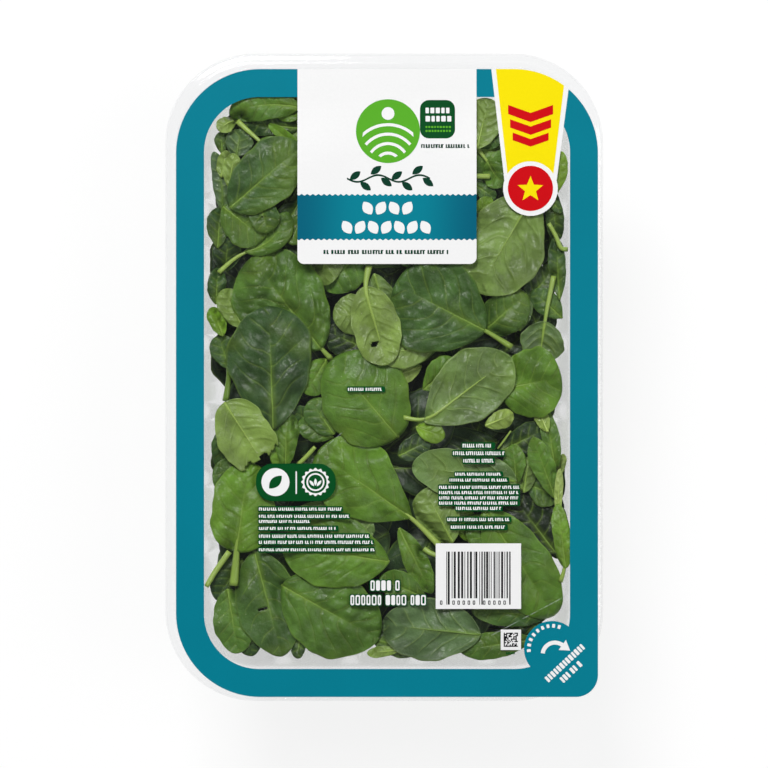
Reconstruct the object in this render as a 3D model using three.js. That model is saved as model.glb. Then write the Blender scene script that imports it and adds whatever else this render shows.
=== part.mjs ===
// A sealed tray of baby spinach: a clear thermoformed tray with fluted walls and a wide flange,
// a heap of loose leaves that fills it, and a thin peel-back film laid over the flange.
// Millimetres. +Z up, +Y towards the top of the print, origin under the middle of the tray's foot.
import * as THREE from "three";

// ---- driving dimensions ----
const TRAY_LENGTH = 300; // along Y, over the flange
const TRAY_WIDTH = 203; // along X, over the flange
const CORNER_R = 41.5; // flange corner, seen from above
const WALL = 0.7; // sheet thickness
const FLANGE_TOP = 104; // height of the sealing face
const LIP_DROP = 5; // how far the rolled lip hangs below the sealing face
const STEP_IN = 3.9; // where the lip's step runs, in from the edge
const FLANGE_WIDTH = 13.6; // edge to the inside of the mouth
const LEDGE_Z = 96; // stacking ledge just under the mouth
const BASE_INSET = 24; // wall at the foot, in from the flange's edge
const PANEL_RISE = 2.5; // pushed-up middle of the base

const RIB_PITCH = 31.6; // flutes pressed into the walls
const RIB_WIDTH = 10;
const RIB_CROWN = 6;
const RIB_DEPTH = 2.5;
const RIBS_LONG = 6;
const RIBS_SHORT = 4;
const RIB_LOW = 14; // flutes run between these heights
const RIB_HIGH = 88;

const FILM_THICK = 0.3;
const FILM_GAP = 0.3; // keeps the film clear of the flange
const FILM_X = [-97.0, 99.6]; // the film sits a little off centre
const FILM_Y = [-148.6, 143.3];
const FILM_R = 39.6; // three round corners
const FILM_TAB_R = 11; // the fourth corner is nearly square and overhangs: the pull tab
const FILM_CROWN = 1.4; // the film bulges this much over the leaves

const HEAP_GAP = 1.0; // leaves to wall
const HEAP_TOP = 102.4; // highest leaf
const HEAP_LUMP = 7.5; // depth of the hollows between leaves
const LEAF_LENGTH = 52;
const LEAF_WIDTH = 36;

// ---- outline: a rounded rectangle with a fixed order of points ----
// Each straight side carries the four corners of every flute; a corner is an arc of equal steps.
function sideStops(count) {
  const stops = [];
  for (let i = 0; i < count; i++) {
    const c = (i - (count - 1) / 2) * RIB_PITCH;
    stops.push([c - RIB_WIDTH / 2, 0], [c - RIB_CROWN / 2, 1], [c + RIB_CROWN / 2, 1], [c + RIB_WIDTH / 2, 0]);
  }
  return stops;
}

function outline(inset, ribIn, { ribbed = true, arcSteps = 5, plainStops = 5 } = {}) {
  const hx = TRAY_WIDTH / 2 - inset;
  const hy = TRAY_LENGTH / 2 - inset;
  const r = Math.max(CORNER_R - inset, 9);
  const plain = (half) =>
    Array.from({ length: plainStops }, (_, i) => [((i + 1) / (plainStops + 1) - 0.5) * 2 * (half - r), 0]);
  // Far inside the base the sides are shorter than the row of flutes, so its stops close up.
  const fitted = (count, half) => {
    const stops = sideStops(count);
    const k = Math.min(1, (0.97 * (half - r)) / stops[stops.length - 1][0]);
    return stops.map(([s, on]) => [s * k, on]);
  };
  const long = ribbed ? fitted(RIBS_LONG, hy) : plain(hy);
  const short = ribbed ? fitted(RIBS_SHORT, hx) : plain(hx);
  const pts = [];
  const arc = (cx, cy, a0) => {
    for (let i = 0; i <= arcSteps; i++) {
      const a = a0 + (i / arcSteps) * (Math.PI / 2);
      pts.push([cx + r * Math.cos(a), cy + r * Math.sin(a)]);
    }
  };
  for (const [s, k] of long) pts.push([hx - k * ribIn, s]);
  arc(hx - r, hy - r, 0);
  for (const [s, k] of short) pts.push([-s, hy - k * ribIn]);
  arc(-hx + r, hy - r, Math.PI / 2);
  for (const [s, k] of long) pts.push([-hx + k * ribIn, -s]);
  arc(-hx + r, -hy + r, Math.PI);
  for (const [s, k] of short) pts.push([s, -hy + k * ribIn]);
  arc(hx - r, -hy + r, 1.5 * Math.PI);
  return pts;
}

// Joins loops of equal length into one closed body; the first and the last loop are closed by a fan.
function loft(loops) {
  const n = loops[0].length;
  const pos = [];
  const tri = [];
  for (const loop of loops) for (const p of loop) pos.push(p.x, p.y, p.z);
  for (let k = 0; k + 1 < loops.length; k++)
    for (let i = 0; i < n; i++) {
      const j = (i + 1) % n;
      const a = k * n + i, b = k * n + j, c = (k + 1) * n + j, d = (k + 1) * n + i;
      tri.push(a, b, c, a, c, d);
    }
  const cap = (loop, base, flip) => {
    const m = loop.reduce((s, p) => s.add(p), new THREE.Vector3()).divideScalar(n);
    const at = pos.length / 3;
    pos.push(m.x, m.y, m.z);
    for (let i = 0; i < n; i++) {
      const j = (i + 1) % n;
      if (flip) tri.push(at, base + i, base + j);
      else tri.push(at, base + j, base + i);
    }
  };
  cap(loops[0], 0, false);
  cap(loops[loops.length - 1], (loops.length - 1) * n, true);
  const g = new THREE.BufferGeometry();
  g.setAttribute("position", new THREE.Float32BufferAttribute(pos, 3));
  g.setIndex(tri);
  g.computeVertexNormals();
  return g;
}

const level = (inset, z, rib = 0, how) => outline(inset, rib, how).map(([x, y]) => new THREE.Vector3(x, y, z));

// ---- tray ----
// The wall leans out evenly from the foot to the ledge.
const wallInset = (z) => THREE.MathUtils.mapLinear(z, 6, LEDGE_Z - 1, BASE_INSET + WALL, FLANGE_WIDTH + 2.2);

function trayGeometry() {
  const under = [
    level(41, PANEL_RISE),
    level(37, 0),
    level(29, 0),
    level(BASE_INSET + 1.4, 1.8),
    level(wallInset(6) - WALL, 6),
    level(wallInset(RIB_LOW) - WALL, RIB_LOW),
    level(wallInset(RIB_LOW + 5) - WALL, RIB_LOW + 5, RIB_DEPTH),
    level(wallInset(RIB_HIGH - 9) - WALL, RIB_HIGH - 9, RIB_DEPTH),
    level(wallInset(RIB_HIGH) - WALL, RIB_HIGH),
    level(wallInset(LEDGE_Z - 1) - WALL, LEDGE_Z - 1),
    level(FLANGE_WIDTH + 0.2, LEDGE_Z + 0.1),
    level(FLANGE_WIDTH - 0.2, FLANGE_TOP - WALL),
    level(STEP_IN + 0.6, FLANGE_TOP - WALL),
    level(STEP_IN + 0.1, FLANGE_TOP - 1 - WALL),
    level(WALL, FLANGE_TOP - 2.4 - WALL),
    level(WALL, FLANGE_TOP - LIP_DROP),
  ];
  const over = [
    level(0, FLANGE_TOP - LIP_DROP),
    level(0, FLANGE_TOP - 2.6),
    level(1.1, FLANGE_TOP - 1.6),
    level(STEP_IN - 0.4, FLANGE_TOP - 1.1),
    level(STEP_IN, FLANGE_TOP),
    level(FLANGE_WIDTH, FLANGE_TOP),
    level(FLANGE_WIDTH + 0.6, FLANGE_TOP - 1.5),
    level(FLANGE_WIDTH + 0.9, LEDGE_Z + 0.7),
    level(wallInset(LEDGE_Z - 1), LEDGE_Z - 0.4),
    level(wallInset(RIB_HIGH), RIB_HIGH),
    level(wallInset(RIB_HIGH - 9), RIB_HIGH - 9, RIB_DEPTH),
    level(wallInset(RIB_LOW + 5), RIB_LOW + 5, RIB_DEPTH),
    level(wallInset(RIB_LOW), RIB_LOW),
    level(wallInset(6), 6),
    level(BASE_INSET + 2, 2.3),
    level(29.4, WALL),
    level(36.6, WALL),
    level(40.6, PANEL_RISE + WALL),
  ];
  return loft([...under, ...over]);
}

// ---- film ----
function filmOutline(inset) {
  const [x0, x1] = [FILM_X[0] + inset, FILM_X[1] - inset];
  const [y0, y1] = [FILM_Y[0] + inset, FILM_Y[1] - inset];
  const r = Math.max(FILM_R - inset, 6);
  const t = Math.max(FILM_TAB_R - inset, 3 + inset * 0.4);
  const corners = [[x1 - r, y1 - r, r], [x0 + r, y1 - r, r], [x0 + r, y0 + r, r], [x1 - t, y0 + t, t]];
  const arcs = corners.map(([cx, cy, q], k) =>
    new THREE.EllipseCurve(cx, cy, q, q, (k * Math.PI) / 2, ((k + 1) * Math.PI) / 2).getPoints(8),
  );
  // Each side is split in four between the end of one arc and the start of the next.
  return arcs.flatMap((arc, k) => {
    const from = arc[8];
    const to = arcs[(k + 1) % 4][0];
    return [...arc, ...[1, 2, 3].map((i) => from.clone().lerp(to, i / 4))];
  });
}

const smooth = (t) => t * t * (3 - 2 * t);

function filmGeometry() {
  const bottom = FLANGE_TOP + FILM_GAP;
  const insets = [48, 32, 22, 15, 0];
  const rise = (d) => FILM_CROWN * smooth(THREE.MathUtils.clamp((d - 15) / 33, 0, 1));
  const at = (d, dz) => filmOutline(d).map((p) => new THREE.Vector3(p.x, p.y, bottom + dz + rise(d)));
  return loft([...insets.map((d) => at(d, 0)), ...[...insets].reverse().map((d) => at(d, FILM_THICK))]);
}

// ---- heap of leaves ----
// Leaf-shaped lumps, laid in a spiral with turned axes; the surface is the highest lump at each point.
const LUMPS = Array.from({ length: 44 }, (_, i) => {
  const t = Math.sqrt((i + 0.5) / 44);
  const a = i * 2.39996;
  return { x: 76 * t * Math.cos(a), y: 124 * t * Math.sin(a), turn: i * 1.7, lift: 0.5 + 0.5 * Math.sin(i * 12.9898) };
});

function heapTop(x, y) {
  let best = 0;
  for (const k of LUMPS) {
    const c = Math.cos(k.turn), s = Math.sin(k.turn);
    const u = ((x - k.x) * c + (y - k.y) * s) / (LEAF_LENGTH / 2);
    const v = (-(x - k.x) * s + (y - k.y) * c) / (LEAF_WIDTH / 2);
    const q = 1 - u * u - v * v;
    if (q > 0) best = Math.max(best, Math.sqrt(q) * (0.55 + 0.45 * k.lift));
  }
  return HEAP_TOP - HEAP_LUMP * (1 - best);
}

function heapGeometry() {
  const how = { ribbed: false, arcSteps: 4, plainStops: 9 };
  const side = (z) => wallInset(z) + RIB_DEPTH + HEAP_GAP;
  const wobble = (loop, amount) =>
    loop.map((p, i) => {
      const k = 1 - (amount * (0.5 + 0.5 * Math.sin(i * 2.3 + p.z))) / Math.hypot(p.x, p.y);
      return new THREE.Vector3(p.x * k, p.y * k, p.z);
    });
  const floor = PANEL_RISE + WALL + 0.6;
  const loops = [
    level(62, floor, 0, how),
    level(38, floor, 0, how),
    wobble(level(side(8) + 2, floor + 1, 0, how), 1),
    wobble(level(side(20), 20, 0, how), 1.2),
    wobble(level(side(44), 44, 0, how), 1.6),
    wobble(level(side(68), 68, 0, how), 1.6),
    wobble(level(side(88), 88, 0, how), 1.6),
  ];
  for (const d of [23, 27, 33, 40, 48, 57, 67, 78, 90])
    loops.push(
      level(d, 0, 0, how).map((p) => new THREE.Vector3(p.x, p.y, heapTop(p.x, p.y) - (d < 27 ? 5 : 0))),
    );
  return loft(loops);
}

// ---- the object ----
const clear = new THREE.MeshStandardMaterial({ color: 0xe9ecee, roughness: 0.12, metalness: 0, transparent: true, opacity: 0.35 });
const film = new THREE.MeshStandardMaterial({ color: 0x007f96, roughness: 0.22, metalness: 0 });
const leaf = new THREE.MeshStandardMaterial({ color: 0x466f2c, roughness: 0.5, metalness: 0 });

const pack = new THREE.Group();
const add = (name, geometry, material) => {
  const m = new THREE.Mesh(geometry, material);
  m.name = name;
  pack.add(m);
};
add("tray", trayGeometry(), clear);
add("spinach", heapGeometry(), leaf);
add("lid_film", filmGeometry(), film);

export default pack;
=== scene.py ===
# A sealed clear tray of baby spinach with a printed peel-back film, seen from straight above.
# Lengths are worked out in millimetres and written to the meshes in metres.
import math

import bmesh
import bpy
import numpy as np
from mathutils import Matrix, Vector


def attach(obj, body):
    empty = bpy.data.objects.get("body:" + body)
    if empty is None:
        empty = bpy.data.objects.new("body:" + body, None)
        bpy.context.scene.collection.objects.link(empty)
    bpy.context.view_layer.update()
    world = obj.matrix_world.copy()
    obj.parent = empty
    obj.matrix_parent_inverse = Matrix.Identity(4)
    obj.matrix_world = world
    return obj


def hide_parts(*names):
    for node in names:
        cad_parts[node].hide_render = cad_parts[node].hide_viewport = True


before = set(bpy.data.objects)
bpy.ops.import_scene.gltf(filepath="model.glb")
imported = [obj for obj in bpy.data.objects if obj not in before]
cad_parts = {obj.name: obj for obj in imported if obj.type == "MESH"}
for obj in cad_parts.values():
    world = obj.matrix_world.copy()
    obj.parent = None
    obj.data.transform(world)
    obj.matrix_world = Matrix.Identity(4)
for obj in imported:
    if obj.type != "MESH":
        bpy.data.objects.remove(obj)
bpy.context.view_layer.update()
MM = 0.001

# ---------------------------------------------------------------- sizes shared with the solid model
TRAY_LENGTH, TRAY_WIDTH, CORNER_R, WALL = 300.0, 203.0, 41.5, 0.7
FLANGE_TOP, LIP_DROP, STEP_IN, FLANGE_WIDTH = 104.0, 5.0, 3.9, 13.6
LEDGE_Z, BASE_INSET, PANEL_RISE = 96.0, 24.0, 2.5
RIB_PITCH, RIB_WIDTH, RIB_CROWN, RIB_DEPTH = 31.6, 10.0, 6.0, 2.5
RIBS_LONG, RIBS_SHORT, RIB_LOW, RIB_HIGH = 6, 4, 14.0, 88.0
FILM_X, FILM_Y, FILM_R, FILM_TAB_R = (-97.0, 99.6), (-148.6, 143.3), 39.6, 11.0
FILM_CROWN, FILM_SHEET = 1.4, 0.1
HEAP_GAP = 1.0

# ---------------------------------------------------------------- where a place in the print lies
PX = 0.46261  # millimetres for one pixel of the 768 pixel frame, at the film


def pin(px, py):
    return (px - 384.25) * PX, (377.25 - py) * PX


def smooth(t):
    t = np.clip(t, 0.0, 1.0)
    return t * t * (3 - 2 * t)


def wall_inset(z):
    return BASE_INSET + WALL + (z - 6) / (LEDGE_Z - 7) * (FLANGE_WIDTH + 2.2 - BASE_INSET - WALL)


def round_rect_depth(x, y, hx, hy, r, cx=0.0, cy=0.0):
    """How far a point lies inside a rounded rectangle."""
    qx, qy = np.abs(x - cx) - (hx - r), np.abs(y - cy) - (hy - r)
    outside = np.hypot(np.maximum(qx, 0), np.maximum(qy, 0))
    return r - outside - np.minimum(np.maximum(qx, qy), 0)


def film_rise(x, y):
    """The film is flat on the flange and bulges a little over the leaves, with faint slack ripples."""
    x, y = np.asarray(x, float), np.asarray(y, float)
    d = round_rect_depth(x, y, 85.5, 134.5, 26, 0.6, -1.6)
    up = FILM_CROWN * smooth(d / 36)
    slack = smooth(d / 14) * (
        0.10 * np.sin(x * 0.071 + y * 0.043 + 1.1)
        + 0.07 * np.sin(x * 0.037 - y * 0.091 + 0.4)
        + 0.05 * np.sin(x * 0.16 + 2.2 * np.sin(y * 0.03))
    )
    return up + slack - 0.1 * smooth(d / 14)


FILM_Z = 104.12  # underside of the sheet on the flange
PRINT_STEP = 0.045  # each layer of ink above the one before


# ---------------------------------------------------------------- meshes
def to_object(name, verts, faces, materials, index=None, smooth_shade=True, layers=None):
    """verts in millimetres; faces is an (n, 4) or (n, 3) array, or a list of such arrays."""
    groups = faces if isinstance(faces, list) else [faces]
    me = bpy.data.meshes.new(name)
    co = np.ascontiguousarray(np.asarray(verts, float) * MM, np.float32)
    me.vertices.add(len(co))
    me.vertices.foreach_set("co", co.ravel())
    loops = np.concatenate([np.asarray(g).ravel() for g in groups]).astype(np.int32)
    sizes = np.concatenate([np.full(len(g), np.asarray(g).shape[1]) for g in groups]).astype(np.int32)
    starts = np.concatenate([[0], np.cumsum(sizes)[:-1]]).astype(np.int32)
    me.loops.add(len(loops))
    me.loops.foreach_set("vertex_index", loops)
    me.polygons.add(len(sizes))
    me.polygons.foreach_set("loop_start", starts)
    me.polygons.foreach_set("loop_total", sizes)
    if index is not None:
        me.polygons.foreach_set("material_index", np.asarray(index, np.int32))
    me.polygons.foreach_set("use_smooth", np.full(len(sizes), smooth_shade))
    for key, values in (layers or {}).items():
        a = me.attributes.new(key, "FLOAT_VECTOR", "POINT")
        a.data.foreach_set("vector", np.ascontiguousarray(values, np.float32).ravel())
    for m in materials:
        me.materials.append(m)
    me.update(calc_edges=True)
    me.validate()
    ob = bpy.data.objects.new(name, me)
    bpy.context.scene.collection.objects.link(ob)
    return ob


# ---------------------------------------------------------------- node helpers
class Nodes:
    """A short way to write a node tree."""

    def __init__(self, name):
        self.mat = bpy.data.materials.new(name)
        self.mat.use_nodes = True
        self.tree = self.mat.node_tree
        self.tree.nodes.clear()
        self.out = self.tree.nodes.new("ShaderNodeOutputMaterial")

    def put(self, socket, value):
        if isinstance(value, bpy.types.NodeSocket):
            self.tree.links.new(value, socket)
        elif value is not None:
            socket.default_value = value

    def node(self, kind, inputs=None, **props):
        n = self.tree.nodes.new(kind)
        for k, v in props.items():
            setattr(n, k, v)
        for k, v in (inputs or {}).items():
            self.put(n.inputs[k], v)
        return n

    def math(self, op, a, b=None, c=None, clamp=False):
        n = self.tree.nodes.new("ShaderNodeMath")
        n.operation, n.use_clamp = op, clamp
        for i, v in enumerate((a, b, c)):
            if v is not None:
                self.put(n.inputs[i], v)
        return n.outputs[0]

    def step(self, value, low, high, to_low=0.0, to_high=1.0):
        n = self.tree.nodes.new("ShaderNodeMapRange")
        n.interpolation_type = "SMOOTHSTEP"
        for k, v in zip((0, 1, 2, 3, 4), (value, low, high, to_low, to_high)):
            self.put(n.inputs[k], v)
        return n.outputs[0]

    def mix(self, fac, a, b):
        n = self.tree.nodes.new("ShaderNodeMix")
        n.data_type = "RGBA"
        self.put(n.inputs[0], fac)
        for i, v in ((6, a), (7, b)):
            self.put(n.inputs[i], v if isinstance(v, bpy.types.NodeSocket) else (*v, 1.0)[:4])
        return n.outputs[2]

    def ramp(self, fac, stops):
        n = self.tree.nodes.new("ShaderNodeValToRGB")
        e = n.color_ramp.elements
        while len(e) < len(stops):
            e.new(0.5)
        for el, (at, colour) in zip(e, stops):
            el.position, el.color = at, (*colour, 1.0)
        self.put(n.inputs[0], fac)
        return n.outputs[0]

    def noise(self, vector, scale, detail=2.0, rough=0.5):
        n = self.node("ShaderNodeTexNoise", {"Scale": scale, "Detail": detail, "Roughness": rough})
        self.put(n.inputs["Vector"], vector)
        return n.outputs[0]

    def bump(self, height, distance, strength=1.0):
        n = self.node("ShaderNodeBump", {"Strength": strength, "Distance": distance, "Height": height})
        return n.outputs[0]

    def finish(self, shader):
        self.put(self.out.inputs[0], shader)
        return self.mat


def srgb(r, g, b, k=1.0):
    def one(c):
        c /= 255
        return k * (c / 12.92 if c <= 0.04045 else ((c + 0.055) / 1.055) ** 2.4)

    return one(r), one(g), one(b)


INK_K = 0.79  # the studio is bright enough to burn out the floor, so inks are this much darker than they look


# ---------------------------------------------------------------- materials
LEAF_K = 0.69


def leaf_material(name, under):
    n = Nodes(name)
    at = n.node("ShaderNodeAttribute", attribute_name="leaf_at").outputs["Vector"]
    kind = n.node("ShaderNodeAttribute", attribute_name="leaf_kind").outputs["Vector"]
    place = n.node("ShaderNodeSeparateXYZ", {0: at}).outputs
    kinds = n.node("ShaderNodeSeparateXYZ", {0: kind}).outputs
    x, y, s = place[0], place[1], place[2]
    tone, t, seed = kinds[0], kinds[1], kinds[2]
    flat = n.node("ShaderNodeCombineXYZ", {0: x, 1: y, 2: n.math("MULTIPLY", seed, 97.0)}).outputs[0]
    away = n.math("ABSOLUTE", y)
    course = n.node("ShaderNodeAttribute", attribute_name="leaf_vein").outputs["Vector"]
    course = n.node("ShaderNodeSeparateXYZ", {0: course}).outputs
    run = n.math("ADD", course[0], n.math("MULTIPLY", n.math("GREATER_THAN", y, 0.0), 0.46))
    near = n.math("ABSOLUTE", n.math("SUBTRACT", n.math("FRACT", run), 0.5))
    gap = n.math("DIVIDE", n.math("SUBTRACT", 0.5, near), course[1])  # millimetres to the nearest side vein
    thin = n.step(n.math("ABSOLUTE", t), 1.0, 0.5, 0.5, 1.0)
    veins = n.math("MULTIPLY", n.step(n.math("DIVIDE", gap, thin), 0.42, 0.1), n.step(n.math("ABSOLUTE", t), 0.97, 0.6))
    soft_veins = n.math("MULTIPLY", n.step(gap, 1.5, 0.0), n.step(n.math("ABSOLUTE", t), 0.98, 0.5))
    mid = n.math("MULTIPLY", n.step(away, 0.62, 0.15), n.step(s, 0.86, 0.15, 0.0, 1.0))
    mid_soft = n.math("MULTIPLY", n.step(away, 2.6, 0.3), n.step(s, 0.95, 0.1, 0.0, 1.0))
    net = n.node("ShaderNodeTexVoronoi", {"Vector": flat, "Scale": 0.36, "Randomness": 1.0}, feature="DISTANCE_TO_EDGE").outputs[0]
    net = n.step(net, 0.09, 0.015)
    mottle = n.noise(flat, 0.07, 3.0, 0.6)
    grain = n.noise(flat, 1.9, 2.0, 0.6)
    if under:
        base = n.ramp(tone, [(at, srgb(*c, LEAF_K)) for at, c in ((0.0, (72, 100, 62)), (0.35, (100, 130, 66)), (0.6, (126, 154, 68)), (0.8, (152, 178, 82)), (1.0, (184, 205, 118)))])
        vein, vein_amount, rough = srgb(166, 190, 112, LEAF_K), 0.2, 0.56
    else:
        base = n.ramp(tone, [(at, srgb(*c, LEAF_K)) for at, c in ((0.0, (44, 70, 34)), (0.2, (63, 96, 44)), (0.42, (82, 120, 40)), (0.6, (100, 142, 38)), (0.8, (128, 168, 42)), (1.0, (160, 194, 74)))])
        vein, vein_amount, rough = srgb(142, 176, 74, LEAF_K), 0.19, 0.47
    shade = n.step(mottle, 0.28, 0.72, 0.64, 1.33)
    # painted shade: the broad zones along the side veins are darkened, as if shade lay in the valleys between the
    # cushions; stronger on the upper side
    crease_shade = n.math("MULTIPLY", soft_veins, n.step(n.noise(flat, 0.11, 2.0), 0.35, 0.65, 0.0, 0.42 if not under else 0.14))
    shade = n.math("MULTIPLY", shade, n.math("SUBTRACT", 1.0, crease_shade))
    shade = n.math("MULTIPLY", shade, n.step(tone, -1.0, 0.0, 0.3, 1.0))  # painted shade: a tone below nought darkens a leaf deep in the heap, as if it lay in shade
    shade = n.math("MULTIPLY", shade, n.step(grain, 0.2, 0.8, 0.95, 1.05))
    base = n.node("ShaderNodeVectorMath", {0: base, "Scale": shade}, operation="SCALE").outputs[0]
    blush = n.math("MULTIPLY", n.math("ADD", mid_soft, n.math("MULTIPLY", soft_veins, 0.35)), 0.3)
    base = n.mix(blush, base, srgb(134, 168, 56, LEAF_K))
    sun = n.math("MULTIPLY", n.step(n.noise(flat, 0.045, 2.0), 0.45, 0.75, 0.0, 0.38), n.step(tone, -0.3, 0.2))
    base = n.mix(sun, base, srgb(122, 152, 48, LEAF_K))
    rim = n.math("MULTIPLY", n.step(n.math("ABSOLUTE", t), 0.93, 1.0), 0.28)
    base = n.mix(rim, base, vein)
    amount = n.math("ADD", n.math("MULTIPLY", veins, vein_amount), n.math("MULTIPLY", mid, 0.66))
    amount = n.math("ADD", amount, n.math("MULTIPLY", net, 0.02 if not under else 0.03), clamp=True)
    colour = n.mix(amount, base, vein)
    dust = n.node("ShaderNodeTexVoronoi", {"Vector": flat, "Scale": 0.33, "Randomness": 1.0}, feature="F1")
    pick = n.node("ShaderNodeSeparateXYZ", {0: dust.outputs["Color"]}).outputs[0]
    fleck = n.math("MULTIPLY", n.step(dust.outputs["Distance"], 0.1, 0.05), n.math("GREATER_THAN", pick, 0.8))
    colour = n.mix(n.math("MULTIPLY", fleck, 0.55), colour, srgb(196, 208, 160, LEAF_K))
    sign = 1.0 if under else -1.0
    height = n.math("MULTIPLY", n.math("ADD", mid, n.math("ADD", n.math("MULTIPLY", soft_veins, 0.4 if not under else 0.8), n.math("MULTIPLY", net, 0.03))), sign)
    height = n.math("ADD", height, n.math("MULTIPLY", grain, 0.22))
    height = n.math("ADD", height, n.math("MULTIPLY", n.noise(flat, 0.34, 2.0, 0.55), 1.6))
    normal = n.bump(height, 0.0004, 0.8)
    gloss = n.step(mottle, 0.2, 0.8, rough - 0.07, rough + 0.1)
    shader = n.node("ShaderNodeBsdfPrincipled", {"Base Color": colour, "Roughness": gloss, "Normal": normal, "Specular IOR Level": 0.3 if under else 0.18, "Coat Weight": 0.15 if under else 0.1, "Coat Roughness": 0.2, "Coat Normal": normal})
    return n.finish(shader.outputs[0])


def stalk_material():
    n = Nodes("leaf_stalk")
    at = n.node("ShaderNodeAttribute", attribute_name="leaf_at").outputs["Vector"]
    kind = n.node("ShaderNodeAttribute", attribute_name="leaf_kind").outputs["Vector"]
    tone = n.node("ShaderNodeSeparateXYZ", {0: kind}).outputs[0]
    stretch = n.node("ShaderNodeMapping", {"Vector": at, "Scale": (0.12, 1.6, 1.6)}).outputs[0]
    fibre = n.noise(stretch, 1.0, 3.0, 0.6)
    base = n.ramp(tone, [(0.0, srgb(80, 112, 40, LEAF_K)), (0.5, srgb(128, 164, 58, LEAF_K)), (1.0, srgb(182, 210, 100, LEAF_K))])
    base = n.node("ShaderNodeVectorMath", {0: base, "Scale": n.step(fibre, 0.25, 0.75, 0.86, 1.12)}, operation="SCALE").outputs[0]
    normal = n.bump(fibre, 0.0003, 0.6)
    return n.finish(n.node("ShaderNodeBsdfPrincipled", {"Base Color": base, "Roughness": 0.38, "Normal": normal, "Specular IOR Level": 0.45}).outputs[0])


def core_material():
    n = Nodes("deep_leaves_painted_shade")
    at = n.node("ShaderNodeTexCoord").outputs["Object"]
    lumps = n.noise(at, 38.0, 3.0)
    # painted shade: the core is coloured a dark blue green that stands for the shade deep in the heap, darker than the
    # leaves' own colour
    colour = n.ramp(lumps, [(0.3, srgb(28, 46, 44)), (0.55, srgb(40, 64, 50)), (0.75, srgb(56, 84, 50))])
    normal = n.bump(n.noise(at, 90.0, 3.0), 0.003, 0.8)
    return n.finish(n.node("ShaderNodeBsdfPrincipled", {"Base Color": colour, "Roughness": 0.6, "Normal": normal, "Specular IOR Level": 0.2}).outputs[0])


def ink_material(name, colour, rough=0.4, vary=0.03):
    n = Nodes(name)
    at = n.node("ShaderNodeTexCoord").outputs["Object"]
    cloud = n.noise(at, 22.0, 2.0)
    dots = n.noise(at, 900.0, 1.0)
    shade = n.math("MULTIPLY", n.step(cloud, 0.2, 0.8, 1 - vary, 1 + vary), n.step(dots, 0.2, 0.8, 0.99, 1.01))
    base = n.node("ShaderNodeVectorMath", {0: (*colour,), "Scale": shade}, operation="SCALE").outputs[0]
    normal = n.bump(n.noise(at, 60.0, 2.0), 0.0002, 0.25)
    return n.finish(n.node("ShaderNodeBsdfPrincipled", {"Base Color": base, "Roughness": rough, "Normal": normal, "Specular IOR Level": 0.06}).outputs[0])


def band_material(name, middle, ends):
    """Teal that deepens towards both ends of the band."""
    n = Nodes(name)
    at = n.node("ShaderNodeTexCoord").outputs["Object"]
    x = n.node("ShaderNodeSeparateXYZ", {0: at}).outputs[0]
    off = n.math("ABSOLUTE", n.math("SUBTRACT", x, 0.0012))
    base = n.mix(n.step(off, 0.012, 0.042), middle, ends)
    cloud = n.noise(at, 22.0, 2.0)
    base = n.node("ShaderNodeVectorMath", {0: base, "Scale": n.step(cloud, 0.2, 0.8, 0.98, 1.02)}, operation="SCALE").outputs[0]
    return n.finish(n.node("ShaderNodeBsdfPrincipled", {"Base Color": base, "Roughness": 0.4, "Specular IOR Level": 0.06}).outputs[0])


def clear_material(name, tint, straight, glancing, rough, haze, bump_scale, bump_height, milk, creases=()):
    """A thin clear sheet: mostly let through, with a gloss that grows at a glancing angle and a trace of haze."""
    n = Nodes(name)
    at = n.node("ShaderNodeTexCoord").outputs["Object"]
    ripple = n.noise(at, bump_scale, 2.0)
    normal = n.bump(ripple, bump_height, 0.5)
    through = n.node("ShaderNodeBsdfTransparent", {"Color": (*tint, 1.0)}).outputs[0]
    gloss = n.node("ShaderNodeBsdfGlossy", {"Color": (1, 1, 1, 1), "Roughness": rough, "Normal": normal}).outputs[0]
    cloud = n.node("ShaderNodeBsdfDiffuse", {"Color": (*milk, 1.0), "Normal": normal}).outputs[0]
    facing = n.node("ShaderNodeLayerWeight", {"Blend": 0.5, "Normal": normal}).outputs["Facing"]
    hazy = n.math("MULTIPLY", n.math("ADD", n.math("POWER", facing, 2.0), n.step(ripple, 0.3, 0.8, 0.1, 0.3)), haze, clamp=True)
    for (x0, y0), (x1, y1) in creases:
        run = math.hypot(x1 - x0, y1 - y0)
        ux, uy = (x1 - x0) / run, (y1 - y0) / run
        place = n.node("ShaderNodeSeparateXYZ", {0: at}).outputs
        px, py = n.math("SUBTRACT", place[0], x0 * MM), n.math("SUBTRACT", place[1], y0 * MM)
        along = n.math("ADD", n.math("MULTIPLY", px, ux), n.math("MULTIPLY", py, uy))
        across = n.math("ABSOLUTE", n.math("SUBTRACT", n.math("MULTIPLY", px, uy), n.math("MULTIPLY", py, ux)))
        line = n.math("MULTIPLY", n.step(across, 0.00022, 0.0001), n.math("MULTIPLY", n.step(along, 0.0, 0.003), n.step(along, run * MM, (run - 3) * MM)))
        line = n.math("MULTIPLY", line, n.step(n.noise(at, 420.0, 1.0), 0.34, 0.56))
        hazy = n.math("ADD", hazy, n.math("MULTIPLY", line, 0.17), clamp=True)
    body = n.node("ShaderNodeMixShader", {0: hazy, 1: through, 2: cloud}).outputs[0]
    fresnel = n.math("MULTIPLY_ADD", n.math("POWER", facing, 5.0), glancing, straight)
    return n.finish(n.node("ShaderNodeMixShader", {0: fresnel, 1: body, 2: gloss}).outputs[0])


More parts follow.
